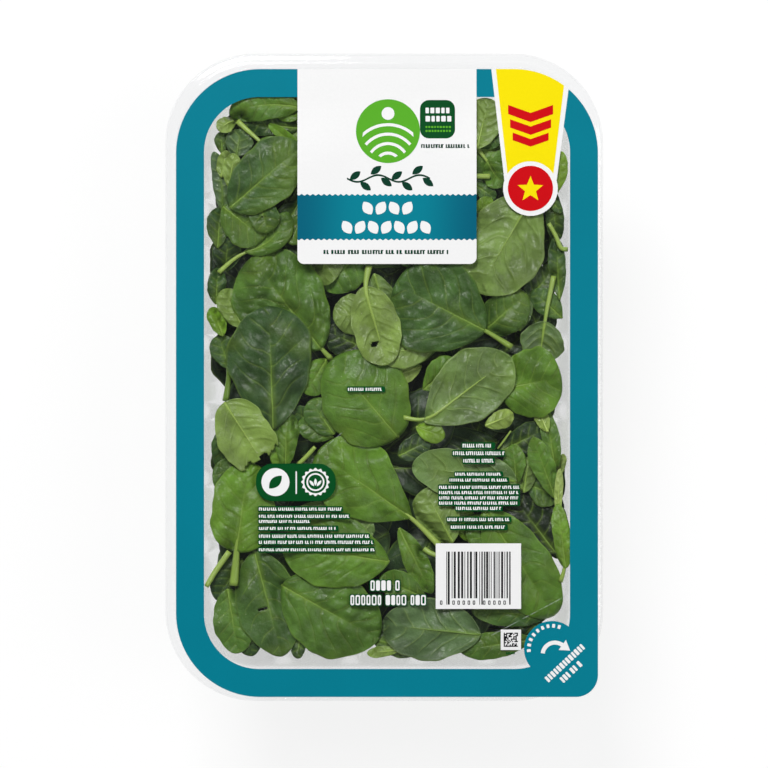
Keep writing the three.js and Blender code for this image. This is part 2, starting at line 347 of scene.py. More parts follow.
def floor_material():
    n = Nodes("studio_floor")
    at = n.node("ShaderNodeTexCoord").outputs["Object"]
    colour = n.ramp(n.noise(at, 3.0, 2.0), [(0.3, (0.145, 0.145, 0.145)), (0.7, (0.155, 0.155, 0.155))])
    plain = n.node("ShaderNodeBsdfDiffuse", {"Color": colour}).outputs[0]
    lit = n.node("ShaderNodeEmission", {"Color": (1, 1, 1, 1), "Strength": 0.84}).outputs[0]
    return n.finish(n.node("ShaderNodeAddShader", {0: plain, 1: lit}).outputs[0])


LEAF_UP = leaf_material("leaf_upper_side", False)
LEAF_UNDER = leaf_material("leaf_under_side", True)
STALK = stalk_material()
CORE = core_material()
TRAY_CLEAR = clear_material("tray_clear", (0.973, 0.975, 0.978), 0.032, 0.26, 0.08, 0.08, 55.0, 0.0004, (0.67, 0.68, 0.67))
FILM_CLEAR = clear_material("film_clear", (0.997, 0.997, 0.997), 0.005, 0.4, 0.06, 0.018, 30.0, 0.0003, (0.64, 0.69, 0.71), [(pin(322, 450), pin(345, 430)), (pin(488, 637), pin(566, 596))])
INKS = {
    "teal": ink_material("ink_teal", srgb(0, 128, 149, INK_K)),
    "band": band_material("ink_band", srgb(0, 132, 152, INK_K), srgb(0, 100, 126, INK_K)),
    "white": ink_material("ink_white", srgb(250, 250, 250, INK_K), vary=0.01),
    "lime": ink_material("ink_lime", srgb(92, 178, 42, INK_K)),
    "forest": ink_material("ink_forest", srgb(2, 78, 32, INK_K)),
    "deep": ink_material("ink_deep", srgb(8, 60, 42, INK_K)),
    "yellow": ink_material("ink_yellow", srgb(255, 234, 0, INK_K), vary=0.015),
    "red": ink_material("ink_red", srgb(212, 6, 18, INK_K)),
    "black": ink_material("ink_black", srgb(22, 22, 24, INK_K)),
}


# ---------------------------------------------------------------- tray
def side_stops(count):
    """Places along a straight side, and how far the flute is pressed in there."""
    stops = []
    for i in range(count):
        c = (i - (count - 1) / 2) * RIB_PITCH
        for k in range(-4, 5):
            a = abs(k) / 4 * (RIB_WIDTH / 2 + 0.6)
            stops.append((c + k / 4 * (RIB_WIDTH / 2 + 0.6), float(1 - smooth((a - RIB_CROWN / 2 + 1.2) / (RIB_WIDTH / 2 - RIB_CROWN / 2 + 1.6)))))
        if i + 1 < count:
            stops.append((c + RIB_PITCH / 2, 0.0))
    return stops


def outline(inset, rib, arc_steps=13):
    hx, hy = TRAY_WIDTH / 2 - inset, TRAY_LENGTH / 2 - inset
    r = max(CORNER_R - inset, 9.0)

    def fitted(count, half):
        stops = side_stops(count)
        k = min(1.0, 0.97 * (half - r) / stops[-1][0])
        return [(s * k, w) for s, w in stops]

    long, short = fitted(RIBS_LONG, hy), fitted(RIBS_SHORT, hx)
    pts = []

    def arc(cx, cy, a0):
        for i in range(arc_steps + 1):
            a = a0 + i / arc_steps * math.pi / 2
            pts.append((cx + r * math.cos(a), cy + r * math.sin(a)))

    pts += [(hx - w * rib, s) for s, w in long]
    arc(hx - r, hy - r, 0)
    pts += [(-s, hy - w * rib) for s, w in short]
    arc(-hx + r, hy - r, math.pi / 2)
    pts += [(-hx + w * rib, -s) for s, w in long]
    arc(-hx + r, -hy + r, math.pi)
    pts += [(s, -hy + w * rib) for s, w in short]
    arc(hx - r, -hy + r, 1.5 * math.pi)
    return np.array(pts)


def rounded_profile(points, radius, steps=3):
    """Rounds each corner of a profile of (inset, z, rib) and keeps its ends."""
    pts = [np.array(p, float) for p in points]
    made = [pts[0]]
    for a, b, c in zip(pts, pts[1:], pts[2:]):
        back, on = a - b, c - b
        lb, lo = np.linalg.norm(back[:2]), np.linalg.norm(on[:2])
        cut = min(radius, lb * 0.45, lo * 0.45)
        p, q = b + back / lb * cut, b + on / lo * cut
        for i in range(steps + 1):
            t = i / steps
            made.append((1 - t) ** 2 * p + 2 * t * (1 - t) * b + t * t * q)
    made.append(pts[-1])
    return made


def tray_profile():
    w = wall_inset
    wall = lambda z, off, rib: (w(z) - off, z, rib)
    under = [
        (62, PANEL_RISE - 0.2, 0), (44, PANEL_RISE, 0), (41, PANEL_RISE, 0), (37, 0, 0), (29, 0, 0), (BASE_INSET + 1.4, 1.8, 0),
        wall(6, WALL, 0), wall(RIB_LOW, WALL, 0), wall(RIB_LOW + 5, WALL, RIB_DEPTH), wall(34, WALL, RIB_DEPTH), wall(58, WALL, RIB_DEPTH),
        wall(RIB_HIGH - 9, WALL, RIB_DEPTH), wall(RIB_HIGH, WALL, 0), wall(LEDGE_Z - 1, WALL, 0),
        (FLANGE_WIDTH + 0.2, LEDGE_Z + 0.1, 0), (FLANGE_WIDTH - 0.2, FLANGE_TOP - WALL, 0), (STEP_IN + 0.6, FLANGE_TOP - WALL, 0),
        (STEP_IN + 0.1, FLANGE_TOP - 1 - WALL, 0), (WALL, FLANGE_TOP - 2.4 - WALL, 0), (WALL, FLANGE_TOP - LIP_DROP, 0),
    ]
    over = [
        (0, FLANGE_TOP - LIP_DROP, 0), (0, FLANGE_TOP - 2.6, 0), (1.1, FLANGE_TOP - 1.6, 0), (STEP_IN - 0.4, FLANGE_TOP - 1.1, 0),
        (STEP_IN, FLANGE_TOP, 0), (FLANGE_WIDTH, FLANGE_TOP, 0), (FLANGE_WIDTH + 0.6, FLANGE_TOP - 1.5, 0), (FLANGE_WIDTH + 0.9, LEDGE_Z + 0.7, 0),
        wall(LEDGE_Z - 1, 0, 0), wall(RIB_HIGH, 0, 0), wall(RIB_HIGH - 9, 0, RIB_DEPTH), wall(58, 0, RIB_DEPTH), wall(34, 0, RIB_DEPTH),
        wall(RIB_LOW + 5, 0, RIB_DEPTH), wall(RIB_LOW, 0, 0), wall(6, 0, 0),
        (BASE_INSET + 2, 2.3, 0), (29.4, WALL, 0), (36.6, WALL, 0), (40.6, PANEL_RISE + WALL, 0), (44, PANEL_RISE + WALL, 0), (62, PANEL_RISE + WALL - 0.2, 0),
    ]
    return rounded_profile(under, 1.6) + rounded_profile(over, 1.6)


def loft(loops):
    n = len(loops[0])
    verts = np.concatenate(loops)
    faces = []
    i = np.arange(n)
    j = (i + 1) % n
    for k in range(len(loops) - 1):
        faces.append(np.stack([k * n + i, k * n + j, (k + 1) * n + j, (k + 1) * n + i], 1))
    quads = np.concatenate(faces)
    caps = []
    for base, flip in ((0, False), ((len(loops) - 1) * n, True)):
        verts = np.vstack([verts, verts[base : base + n].mean(0)])
        at = np.full(n, len(verts) - 1)
        caps.append(np.stack([at, base + i, base + j] if flip else [at, base + j, base + i], 1))
    return verts, [quads, np.concatenate(caps)]


def build_tray():
    loops = []
    for inset, z, rib in tray_profile():
        xy = outline(inset, rib)
        loops.append(np.column_stack([xy, np.full(len(xy), z)]))
    verts, faces = loft(loops)
    ob = to_object("tray_shell", verts, faces, [TRAY_CLEAR])
    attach(ob, "root")
    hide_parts("tray")


# ---------------------------------------------------------------- flat shapes for film and print
def rrect(x0, y0, x1, y1, r, steps=8):
    """Corners in the order top left, top right, bottom right, bottom left; y runs down as in the print."""
    rs = [r] * 4 if not isinstance(r, (list, tuple)) else r
    pts = []
    for (cx, cy, a0), q in zip(((x0, y0, 180), (x1, y0, 270), (x1, y1, 0), (x0, y1, 90)), rs):
        sx, sy = (1 if cx == x0 else -1), (1 if cy == y0 else -1)
        if q <= 0:
            pts.append((cx, cy))
            continue
        for i in range(steps + 1):
            a = math.radians(a0 + 90 * i / steps)
            pts.append((cx + sx * q + q * math.cos(a), cy + sy * q + q * math.sin(a)))
    return pts


def disc(cx, cy, r, steps=40, wave=0.0, lobes=0):
    return [
        (cx + (r + wave * math.cos(lobes * a)) * math.cos(a), cy + (r + wave * math.cos(lobes * a)) * math.sin(a))
        for a in (2 * math.pi * i / steps for i in range(steps))
    ]


def turned(points, cx, cy, degrees):
    c, s = math.cos(math.radians(degrees)), math.sin(math.radians(degrees))
    return [(cx + (x - cx) * c - (y - cy) * s, cy + (x - cx) * s + (y - cy) * c) for x, y in points]


def leaf_mark(cx, cy, length, width, degrees, steps=9):
    """A plain pointed oval."""
    up = [(cx - length / 2 + length * i / steps, cy - width / 2 * math.sin(math.pi * i / steps) ** 0.8) for i in range(steps + 1)]
    down = [(x, 2 * cy - y) for x, y in up[-2:0:-1]]
    return turned(up + down, cx, cy, degrees)


def lay(name, shapes, material, height, thick=0.02, grid=4.0, z_of=None):
    """Flat shapes laid on the film. shapes is [(outline, holes, layer)] in the print's pixels."""
    z_of = z_of or (lambda x, y: FILM_Z + FILM_SHEET + film_rise(x, y))
    bm = bmesh.new()
    lift = bm.verts.layers.float.new("lift")
    for rim, holes, layer in shapes:
        part = bmesh.new()
        edges = []
        for loop in [rim, *holes]:
            vs = [part.verts.new((*pin(*p), 0.0)) for p in loop]
            edges += [part.edges.new((vs[i], vs[(i + 1) % len(vs)])) for i in range(len(vs))]
        bmesh.ops.triangle_fill(part, edges=edges, use_beauty=True, use_dissolve=False)
        xs = [pin(*p)[0] for p in rim]
        ys = [pin(*p)[1] for p in rim]
        if grid and (max(xs) - min(xs) > grid * 1.5 or max(ys) - min(ys) > grid * 1.5):
            for axis, low, high in ((0, min(xs), max(xs)), (1, min(ys), max(ys))):
                at = math.floor(low / grid) * grid + grid
                while at < high:
                    co, no = Vector((0, 0, 0)), Vector((0, 0, 0))
                    co[axis], no[axis] = at, 1.0
                    bmesh.ops.bisect_plane(part, geom=part.verts[:] + part.edges[:] + part.faces[:], dist=1e-5, plane_co=co, plane_no=no)
                    at += grid
        bmesh.ops.recalc_face_normals(part, faces=part.faces[:])
        if part.faces and sum(f.normal.z * f.calc_area() for f in part.faces) < 0:
            bmesh.ops.reverse_faces(part, faces=part.faces[:])
        part.verts.index_update()
        made = {}
        for v in part.verts:
            w = bm.verts.new(v.co)
            w[lift] = height + layer * PRINT_STEP
            made[v.index] = w
        for f in part.faces:
            bm.faces.new([made[v.index] for v in f.verts])
        part.free()
    bm.verts.ensure_lookup_table()
    co = np.array([v.co[:] for v in bm.verts])
    up = np.array([v[lift] for v in bm.verts])
    z = z_of(co[:, 0], co[:, 1]) + up
    for v, h in zip(bm.verts, z):
        v.co.z = float(h)
    # a closed slab: the top, its copy below, and a wall round each rim
    top_faces = bm.faces[:]
    under = {}
    for v in bm.verts[:]:
        under[v] = bm.verts.new((v.co.x, v.co.y, v.co.z - thick))
    walls = [(e.link_loops[0].vert, e.link_loops[0].link_loop_next.vert) for e in bm.edges if len(e.link_faces) == 1]
    for f in top_faces:
        bm.faces.new([under[v] for v in reversed(f.verts)])
    for a, b in walls:
        bm.faces.new((b, a, under[a], under[b]))
    bmesh.ops.triangulate(bm, faces=[f for f in bm.faces if len(f.verts) > 4])
    for v in bm.verts:
        v.co *= MM
    me = bpy.data.meshes.new(name)
    bm.to_mesh(me)
    bm.free()
    me.materials.append(material)
    ob = bpy.data.objects.new(name, me)
    bpy.context.scene.collection.objects.link(ob)
    return ob


def unpin(x, y):
    return x / PX + 384.25, 377.25 - y / PX


def film_outline():
    (x0, x1), (y0, y1) = FILM_X, FILM_Y
    (a, b), (c, d) = unpin(x0, y1), unpin(x1, y0)
    return rrect(a, b, c, d, [FILM_R / PX, FILM_R / PX, FILM_TAB_R / PX, FILM_R / PX], steps=24)


def build_film():
    ob = lay("film_sheet", [(film_outline(), [], 0)], FILM_CLEAR, 0.0, thick=FILM_SHEET, grid=3.5)
    for p in ob.data.polygons:
        p.use_smooth = True
    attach(ob, "root")
    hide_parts("lid_film")


# ---------------------------------------------------------------- print
def words(x0, x1, y, tall, rng, wide=1.1, gap=0.95):
    """A line of small uneven blocks."""
    shapes, x = [], x0
    tall = tall * 0.84
    while x < x1 - wide:
        letters = int(rng.integers(2, 10))
        for _ in range(letters):
            if x > x1 - wide:
                break
            w = wide * rng.uniform(0.75, 1.2)
            h = tall * rng.choice([1.0, 1.0, 0.96])
            cut = rng.random()
            shapes.append(rrect(x, y - h / 2, x + w, y + h / 2, 0.28, steps=2))
            if cut < 0.45:  # some blocks carry a short foot, so the line has an uneven texture
                shapes.append(rrect(x + w - 0.2, y + h / 2 - 0.9, x + w + gap * 0.8, y + h / 2, 0.1, steps=1))
            elif cut < 0.7:
                shapes.append(rrect(x + w - 0.2, y - h / 2, x + w + gap * 0.8, y - h / 2 + 0.9, 0.1, steps=1))
            x += w + gap
        x += wide * 1.1
    return shapes


def halo(x0, x1, y, tall, edge=1.1):
    return rrect(x0 - edge, y - tall / 2 - edge, x1 + edge, y + tall / 2 + edge, 1.5, steps=3)


def build_print():
    rng = np.random.default_rng(11)
    ink = {k: [] for k in INKS}

    def add(colour, rim, layer, holes=()):
        ink[colour].append((rim, list(holes), layer))

    # the border: flat colour round the window, and a round tab corner
    outer = rrect(176, 69, 598, 697, [84, 84, 22, 84], steps=24)
    add("teal", outer, 0, [rrect(204, 97, 570, 669, 55, steps=20)])
    add("teal", disc(552, 649, 28, 56), 1)

    # panel at the top
    add("white", rrect(297.5, 69, 476.5, 264, [0, 0, 6.5, 6.5]), 1)
    top, low = 194.9, 239.6
    wave = lambda x, y: (x, y + 0.75 * math.sin((x - 297.5) * 2 * math.pi / 5.6))
    xs = np.linspace(297.5, 476.5, 257)
    add("band", [wave(x, top) for x in xs] + [wave(x, low) for x in xs[::-1]], 2)

    # a disc with a plain picture of a field
    add("lime", disc(388, 131.2, 32, 72), 2)
    for k in range(4):
        r = 44 - 9.5 * k
        arc = []
        for sgn, rr in ((1, r), (-1, r - 3.0)):
            span = np.linspace(-0.98, 0.98, 26)[::sgn]
            for a in span:
                x, y = 388 + rr * math.sin(a) * 0.92, 131.2 + 36 - rr * math.cos(a)
                arc.append((x, y))
        keep = [(x, y) for x, y in arc if math.hypot(x - 388, y - 131.2) < 27.5]
        if len(keep) > 6:
            add("white", keep, 3)
    add("white", disc(388, 113.5, 6.4, 32), 3)
    # a square badge with two rows of blocks
    add("forest", rrect(420, 100, 455, 138.5, [9, 9, 9, 9]), 2)
    for y, h, c in ((110.5, 5.6, "white"), (118.8, 5.6, "white"), (127, 2.0, "lime"), (131, 2.0, "lime")):
        x = 425.5
        while x < 449:
            w = rng.uniform(3.2, 4.6) if h > 3 else rng.uniform(1.6, 2.4)
            add(c, rrect(x, y - h / 2, x + w, y + h / 2, 0.7 if h > 3 else 0.3, steps=3), 3)
            x += w + (1.5 if h > 3 else 0.9)
    for s in words(421, 470, 146.2, 4.6, rng, wide=1.7, gap=0.9):
        add("deep", s, 2)

    # a trailing stem with leaves
    stem = []
    xs = np.linspace(347, 430, 60)
    mid = lambda x: 178.6 + 3.4 * math.sin((x - 347) / 83 * math.pi * 4)
    for sgn in (1, -1):
        for x in xs[::sgn]:
            stem.append((x, mid(x) - sgn * 0.95))
    add("deep", stem, 2)
    for k in range(8):
        x = 353 + k * 10.4
        up = 1 if k % 2 else -1
        add("deep", leaf_mark(x + 2.2, mid(x) + up * 5.6, 13.5, 6.8, -38 * -up if up > 0 else -38), 2)

    # two rows of leaf marks in the band
    for (x0, x1, y), count in (((361, 414, 208.2), 4), ((340.5, 432, 227.4), 7)):
        pitch = (x1 - x0) / count
        for k in range(count):
            cx = x0 + pitch * (k + 0.5)
            add("white", leaf_mark(cx, y, 15.0, 10.4, -58 if k % 2 else 58), 4)
    for s in words(323.5, 450.5, 252.1, 4.9, rng, wide=1.9, gap=1.0):
        add("deep", s, 2)

    # tapered tag that hangs from the top edge
    def edge_y(x):
        return 69.0 if x < 514 else 153 - math.sqrt(max(84**2 - (x - 514) ** 2, 0))

    def tapered(l0, l1, r0, r1, y1, n=18):
        """Straight sides from the top edge down to y1; l0 and r0 are the sides at y 69."""
        left = lambda y: l0 + (l1 - l0) * (y - 69) / (180 - 69)
        right = lambda y: r0 + (r1 - r0) * (y - 69) / (180 - 69)
        pts = []
        for i in range(n + 1):
            x = l0 + (r0 - 1.0 - l0) * i / n
            pts.append((x, edge_y(x)))
        pts.append((right(y1), y1))
        pts.append((left(y1), y1))
        return pts

    add("white", tapered(491.3, 504.2, 569.6, 556.8, 180), 2)
    add("white", disc(530.4, 188.5, 27.4, 60), 3)
    body = tapered(495.9, 508.2, 565.0, 552.8, 172)[:-2]
    rim = []
    for i in range(17):
        x = 553.4 + (507.4 - 553.4) * i / 16
        rim.append((x, 188.5 - math.sqrt(max(27.4**2 - (x - 530.4) ** 2, 0)) + 0.2))
    add("yellow", body + rim, 4)
    add("red", disc(530.4, 188.4, 22.6, 60), 5)
    for k, (y, half, drop, h) in enumerate(((109.5, 22.5, 8.0, 9.2), (123.5, 20.5, 7.2, 8.4), (136.5, 18.0, 6.4, 7.6))):
        add("red", [(530.6 - half, y - h / 2), (530.6, y - h / 2 + drop), (530.6 + half, y - h / 2), (530.6 + half, y + h / 2), (530.6, y + h / 2 + drop), (530.6 - half, y + h / 2)], 5)
    star = []
    for i in range(10):
        a, r = math.radians(-90 + 36 * i), (13.5 if i % 2 == 0 else 5.8)
        star.append((530.4 + r * math.cos(a), 189.4 + r * math.sin(a)))
    add("yellow", star, 6)

    # white blocks on dark backing
    lines = [(348, 384, 389.3, 3.7)]
    lines += [(259, 342, 509, 3.6), (259, 349, 516.2, 3.6), (259, 309.5, 521.4, 3.4), (259, 337.5, 528.3, 3.4), (259, 369, 536.1, 3.8), (259, 373, 542.2, 3.8), (259, 374, 549.7, 3.4)]
    lines += [(462.5, 494, 445.6, 4.4), (453, 504, 453.2, 4.4), (463.3, 493.6, 460.7, 4.4), (455, 502, 474.1, 3.5), (449.5, 508, 480, 3.5)]
    lines += [(439, 519, y, 3.7) for y in (487.2, 492.5, 497.8, 503)] + [(456, 501.5, 508.3, 3.7), (447.3, 510.3, 519.4, 3.8), (450.8, 506.6, 527, 3.8)]
    for i, (a, b, y, tall) in enumerate(lines):
        add("forest", halo(a, b, y, tall), 1)
        for s in words(a, b, y, tall, rng):
            add("white", s, 2)
    for a, b, y, tall in ((370.5, 403.5, 585.4, 10.2), (350.5, 424.5, 600.0, 10.2)):
        x = a
        while x < b - 3:
            w = rng.uniform(3.4, 4.8)
            if rng.random() < 0.16 and x > a + 6:
                x += 3.2
            add("forest", rrect(x - 1.0, y - tall / 2 - 1.0, x + w + 1.0, y + tall / 2 + 1.0, 2.0, steps=3), 1)
            add("white", rrect(x, y - tall / 2, x + w, y + tall / 2, 1.5, steps=4), 2, [rrect(x + 1.3, y - tall / 2 + 1.6, x + w - 1.3, y + tall / 2 - 1.6, 0.6, steps=2)] if rng.random() < 0.62 else ())
            x += w + 1.25

    # dark plate with two plain seals
    add("forest", rrect(256, 463.5, 335.7, 501, 17, steps=12), 2)
    add("white", disc(275.5, 482, 14, 48), 3)
    add("forest", leaf_mark(275.5, 482, 18, 9.5, -45), 4)
    add("white", rrect(295.6, 471.2, 297.0, 494, 0.6, steps=2), 3)
    add("white", disc(315.5, 482, 13.4, 96, 0.9, 16), 3, [disc(315.5, 482, 11.2, 60)])
    add("white", disc(315.5, 482, 9.0, 48), 3, [disc(315.5, 482, 7.4, 40)])
    for k in range(3):
        add("white", leaf_mark(315.5 + (k - 1) * 3.6, 482 + abs(k - 1) * 1.2, 7.4, 2.8, -90 + (k - 1) * 38), 3)

    # bar pattern on white
    add("white", rrect(435.7, 543.3, 521, 608.8, 0), 2)
    x = 446.3
    while x < 510.5:
        w = float(rng.choice([0.7, 0.7, 1.35, 2.0]))
        tall = 604.5 if (x < 449 or 478 < x < 481.5 or x > 507.5) else 598.2
        add("black", rrect(x, 551.5, x + w, tall, 0), 3)
        x += w + float(rng.choice([0.7, 1.35, 1.35, 2.0]))
    x = 440
    while x < 515:
        if not (446 < x < 450 or 477 < x < 482 or 507 < x < 511):
            add("black", rrect(x, 600.4, x + 2.4, 604.6, 0.6, steps=2), 3, [rrect(x + 0.8, 601.2, x + 1.6, 603.8, 0.2, steps=1)])
        x += 5.1 if x > 441 and x < 505 else 7.2

    # block pattern on white
    add("white", rrect(500.7, 629.5, 521, 650, 0), 2)
    cell = 14.2 / 12
    for i in range(12):
        for j in range(12):
            if i == 0 or j == 11 or rng.random() < 0.5:
                add("black", rrect(503.7 + i * cell, 632.6 + j * cell, 503.7 + (i + 1) * cell + 0.02, 632.6 + (j + 1) * cell + 0.02, 0), 3)
    for s in words(506, 516, 653.2, 2.4, rng, wide=1.1, gap=0.5):
        add("forest", s, 2)

    # the tab corner: a lift arrow and rows of blocks along the diagonal
    def diagonal(cx, cy, length, tall, wide=3.0, gap=1.1):
        x = -length / 2
        while x < length / 2 - wide:
            w = wide * rng.uniform(0.8, 1.15)
            add("white", turned(rrect(cx + x, cy - tall / 2, cx + x + w, cy + tall / 2, 0.8, steps=3), cx, cy, -43), 3)
            x += w + gap
            if rng.random() < 0.12:
                x += 2.0

    diagonal(565.5, 662.5, 52, 6.6)
    diagonal(572.5, 670.5, 30, 6.6)
    arrow, inner = [], []
    for i in range(19):
        a = math.radians(188 + 118 * i / 18)
        arrow.append((555 + 14.4 * math.cos(a), 655 + 14.4 * math.sin(a)))
        inner.append((555 + 10.4 * math.cos(a), 655 + 10.4 * math.sin(a)))
    add("white", arrow + inner[::-1], 3)
    tip = math.radians(306)
    cx, cy = 555 + 12.4 * math.cos(tip), 655 + 12.4 * math.sin(tip)
    add("white", turned([(cx - 6.2, cy), (cx + 6.2, cy), (cx, cy + 9.6)], cx, cy, 306 - 0), 3)
    for i in range(9):
        a = math.radians(176 + 14 * i)
        bx, by = 552 + 23.2 * math.cos(a), 649 + 23.2 * math.sin(a)
        add("white", turned(rrect(bx - 1.4, by - 1.9, bx + 1.4, by + 1.9, 0.5, steps=2), bx, by, math.degrees(a) + 90), 3)

    for colour, shapes in ink.items():
        if not shapes:
            continue
        ob = lay("print_" + colour, shapes, INKS[colour], 0.03)
        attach(ob, "root")


# ---------------------------------------------------------------- leaves
GAP = 0.45  # leaf to leaf
THICK = 0.34


class Bed:
    """A side of the heap. Leaves are laid against its face first and then behind one another.
    a and b run along the face, and depth runs into the heap."""

    def __init__(self, place, a_range, b_range, wraps=False, cell=2.0, start=None):
        self.place, self.cell, self.wraps = place, cell, wraps
        self.a0, self.b0 = a_range[0], b_range[0]
        self.na = int((a_range[1] - a_range[0]) / cell) + 1
        self.nb = int((b_range[1] - b_range[0]) / cell) + 1
        self.deep = np.zeros((self.na, self.nb))
        if start is not None:
            a = self.a0 + np.arange(self.na) * cell
            b = self.b0 + np.arange(self.nb) * cell
            self.deep = np.maximum(start(a[:, None], b[None, :]), 0.0)

    def cells(self, a, b):
        i = np.floor((a - self.a0) / self.cell).astype(int)
        i = i % self.na if self.wraps else np.clip(i, 0, self.na - 1)
        return i, np.clip(np.floor((b - self.b0) / self.cell).astype(int), 0, self.nb - 1)

    def drape(self, a, b, relief, ease):
        """Depth of each point of a leaf. Most of it keeps its shape, and what is under others bends down."""
        i, j = self.cells(a, b)
        have = self.deep[i, j] + GAP
        need = have - relief
        start = np.quantile(need, ease)
        push = np.maximum(need - start, 0.0)
        held = push.copy()
        for _ in range(26):
            p = np.pad(held, 1, mode="edge")
            mean = (p[:-2, 1:-1] + p[2:, 1:-1] + p[1:-1, :-2] + p[1:-1, 2:]) / 4
            held = np.maximum(push, mean)
        return start + relief + held

    def cover(self, a, b, depth):
        i, j = self.cells(a, b)
        np.maximum.at(self.deep, (i, j), depth + THICK)


def leaf_grid(nu, nv):
    """A square grid laid over a round one, so that no row closes to a point."""
    u, v = np.meshgrid(np.linspace(-1, 1, nu + 1), np.linspace(-1, 1, nv + 1), indexing="ij")
    x, y = u * np.sqrt(1 - v * v / 2), v * np.sqrt(1 - u * u / 2)
    half = np.sqrt(np.maximum(1 - x * x, 1e-9))
    return (x + 1) / 2, np.clip(y / half, -1, 1)


def leaf_surface(length, width, rng, nu, nv, p=None, q=None, bend=0.0, bull=0.45, fold=None, droop=None, ripple=None):
    """Points of a leaf blade that starts at the origin and runs along x: across is y, and z is up on its upper side."""
    s, t = leaf_grid(nu, nv)
    p = rng.uniform(1.0, 1.4) if p is None else p
    q = rng.uniform(0.5, 0.64) if q is None else q
    f = (4 * s**p * (1 - s**p)) ** q
    ph = rng.uniform(0, 6.28, 8)
    lobe = 1 + 0.062 * np.sin(5.2 * s + ph[0] + np.sign(t) * 0.9) + 0.03 * np.sin(13 * s + ph[1] + np.sign(t) * 1.7) + 0.016 * np.sin(31 * s + ph[2] + t)
    x, y = s * length, t * f * lobe * width / 2
    fold = rng.uniform(-0.05, 0.16) if fold is None else fold
    droop = rng.uniform(0.03, 0.10) if droop is None else droop
    ripple = rng.uniform(0.3, 0.9) if ripple is None else ripple
    ripple = ripple * min(1.0, width / 26)
    away = np.abs(y)
    pitch = float(np.clip(length / 5.6, 4.0, 9.6))
    z = fold * away - 0.7 * np.exp(-((away / 1.3) ** 2)) * (1 - 0.7 * s)
    z -= droop * length * (2 * s - 0.95) ** 2 * 0.6
    z -= rng.uniform(0.0, 0.08) * width * t**2
    z += ripple * np.abs(t) ** 2.5 * np.sin(9.0 * s + ph[2] + np.sign(t) * 1.3) + 0.45 * ripple * np.abs(t) ** 4 * np.sin(23 * s + ph[3] + np.sign(t))
    # side veins arch towards the tip, and the blade puffs up in uneven cushions between them
    c = (x - 0.42 * away**1.3) / pitch + ph[4] / 6.28
    c = c + 0.2 * np.sin(x * 0.19 + ph[5]) * np.minimum(away / 7, 1) + 0.16 * np.sin(away * 0.3 + np.sign(y) * 1.1 + ph[7]) * np.minimum(away / 4, 1)
    edge = 1 - np.abs(t) ** 4
    calm = smooth(away / 2.6) * edge
    cell = rng.uniform(0.62, 0.8) * pitch
    gx, gy = np.meshgrid(np.arange(-2 * cell, length + 2 * cell, cell), np.arange(-width / 2 - cell, width / 2 + 2 * cell, cell * 1.15), indexing="ij")
    gx = gx + rng.uniform(-0.42, 0.42, gx.shape) * cell
    gy = gy + rng.uniform(-0.42, 0.42, gy.shape) * cell
    ux, uy = (x - 0.35 * away**1.25).ravel(), y.ravel()
    gap = np.hypot(ux[:, None] - gx.ravel()[None, :], 0.86 * (uy[:, None] - gy.ravel()[None, :]))
    near2 = np.partition(gap, 1, axis=1)[:, :2]
    dome = (smooth((near2[:, 1] - near2[:, 0]) / (0.75 * cell)) ** 0.8).reshape(x.shape)
    some = 0.45 + 0.55 * smooth(0.5 + 0.75 * np.sin(x * 0.13 + y * 0.17 + ph[1]) * np.sin(y * 0.11 - x * 0.07 + ph[3]))
    z += bull * 0.2 * pitch * dome * calm * some
    valley = np.exp(-((np.abs((c + 0.46 * (y > 0) + 0.5) % 1.0 - 0.5) * pitch / 1.3) ** 2))
    z -= bull * 0.3 * valley * calm
    # slow swells over the whole blade
    swell = 0.016 * width + 0.35
    z += swell * np.sin(6.28 * x / rng.uniform(17, 30) + ph[6]) * np.sin(6.28 * y / rng.uniform(18, 34) + ph[7])
    z += 0.6 * swell * np.sin(6.28 * (x * 0.7 + y) / rng.uniform(13, 24) + ph[0])
    # bent in its own plane, then turned back so that the tip stays on the x axis
    ang = bend * (s - 0.5) * 2
    cx = np.cumsum(np.cos(bend * (np.linspace(0, 1, 200) - 0.5) * 2)) / 200 * length
    cy = np.cumsum(np.sin(bend * (np.linspace(0, 1, 200) - 0.5) * 2)) / 200 * length
    bx = np.interp(s, np.linspace(0, 1, 200), cx) - y * np.sin(ang)
    by = np.interp(s, np.linspace(0, 1, 200), cy) + y * np.cos(ang)
    turn = math.atan2(cy[-1], cx[-1])
    stretch = length / max(math.hypot(cx[-1], cy[-1]), 1e-6)
    wx = (bx * math.cos(turn) + by * math.sin(turn)) * stretch
    wy = -bx * math.sin(turn) + by * math.cos(turn)
    return dict(s=s, t=t, x=x, y=y, wx=wx, wy=wy, z=z, c=c, pitch=pitch, seed=float(rng.random()))


class Pieces:
    """Collects many leaves into a few meshes."""

    def __init__(self):
        self.parts = {}

    def add(self, name, verts, quads, index, at, kind, vein):
        part = self.parts.setdefault(name, dict(v=[], f=[], m=[], a=[], k=[], w=[], n=0))
        part["v"].append(verts)
        part["f"].append(quads + part["n"])
        part["m"].append(index)
        part["a"].append(at)
        part["k"].append(kind)
        part["w"].append(vein)
        part["n"] += len(verts)

    def build(self, materials):
        made = []
        for name, p in self.parts.items():
            made.append(
                to_object(
                    name,
                    np.concatenate(p["v"]),
                    np.concatenate(p["f"]),
                    materials,
                    np.concatenate(p["m"]),
                    layers={"leaf_at": np.concatenate(p["a"]), "leaf_kind": np.concatenate(p["k"]), "leaf_vein": np.concatenate(p["w"])},
                )
            )
        return made


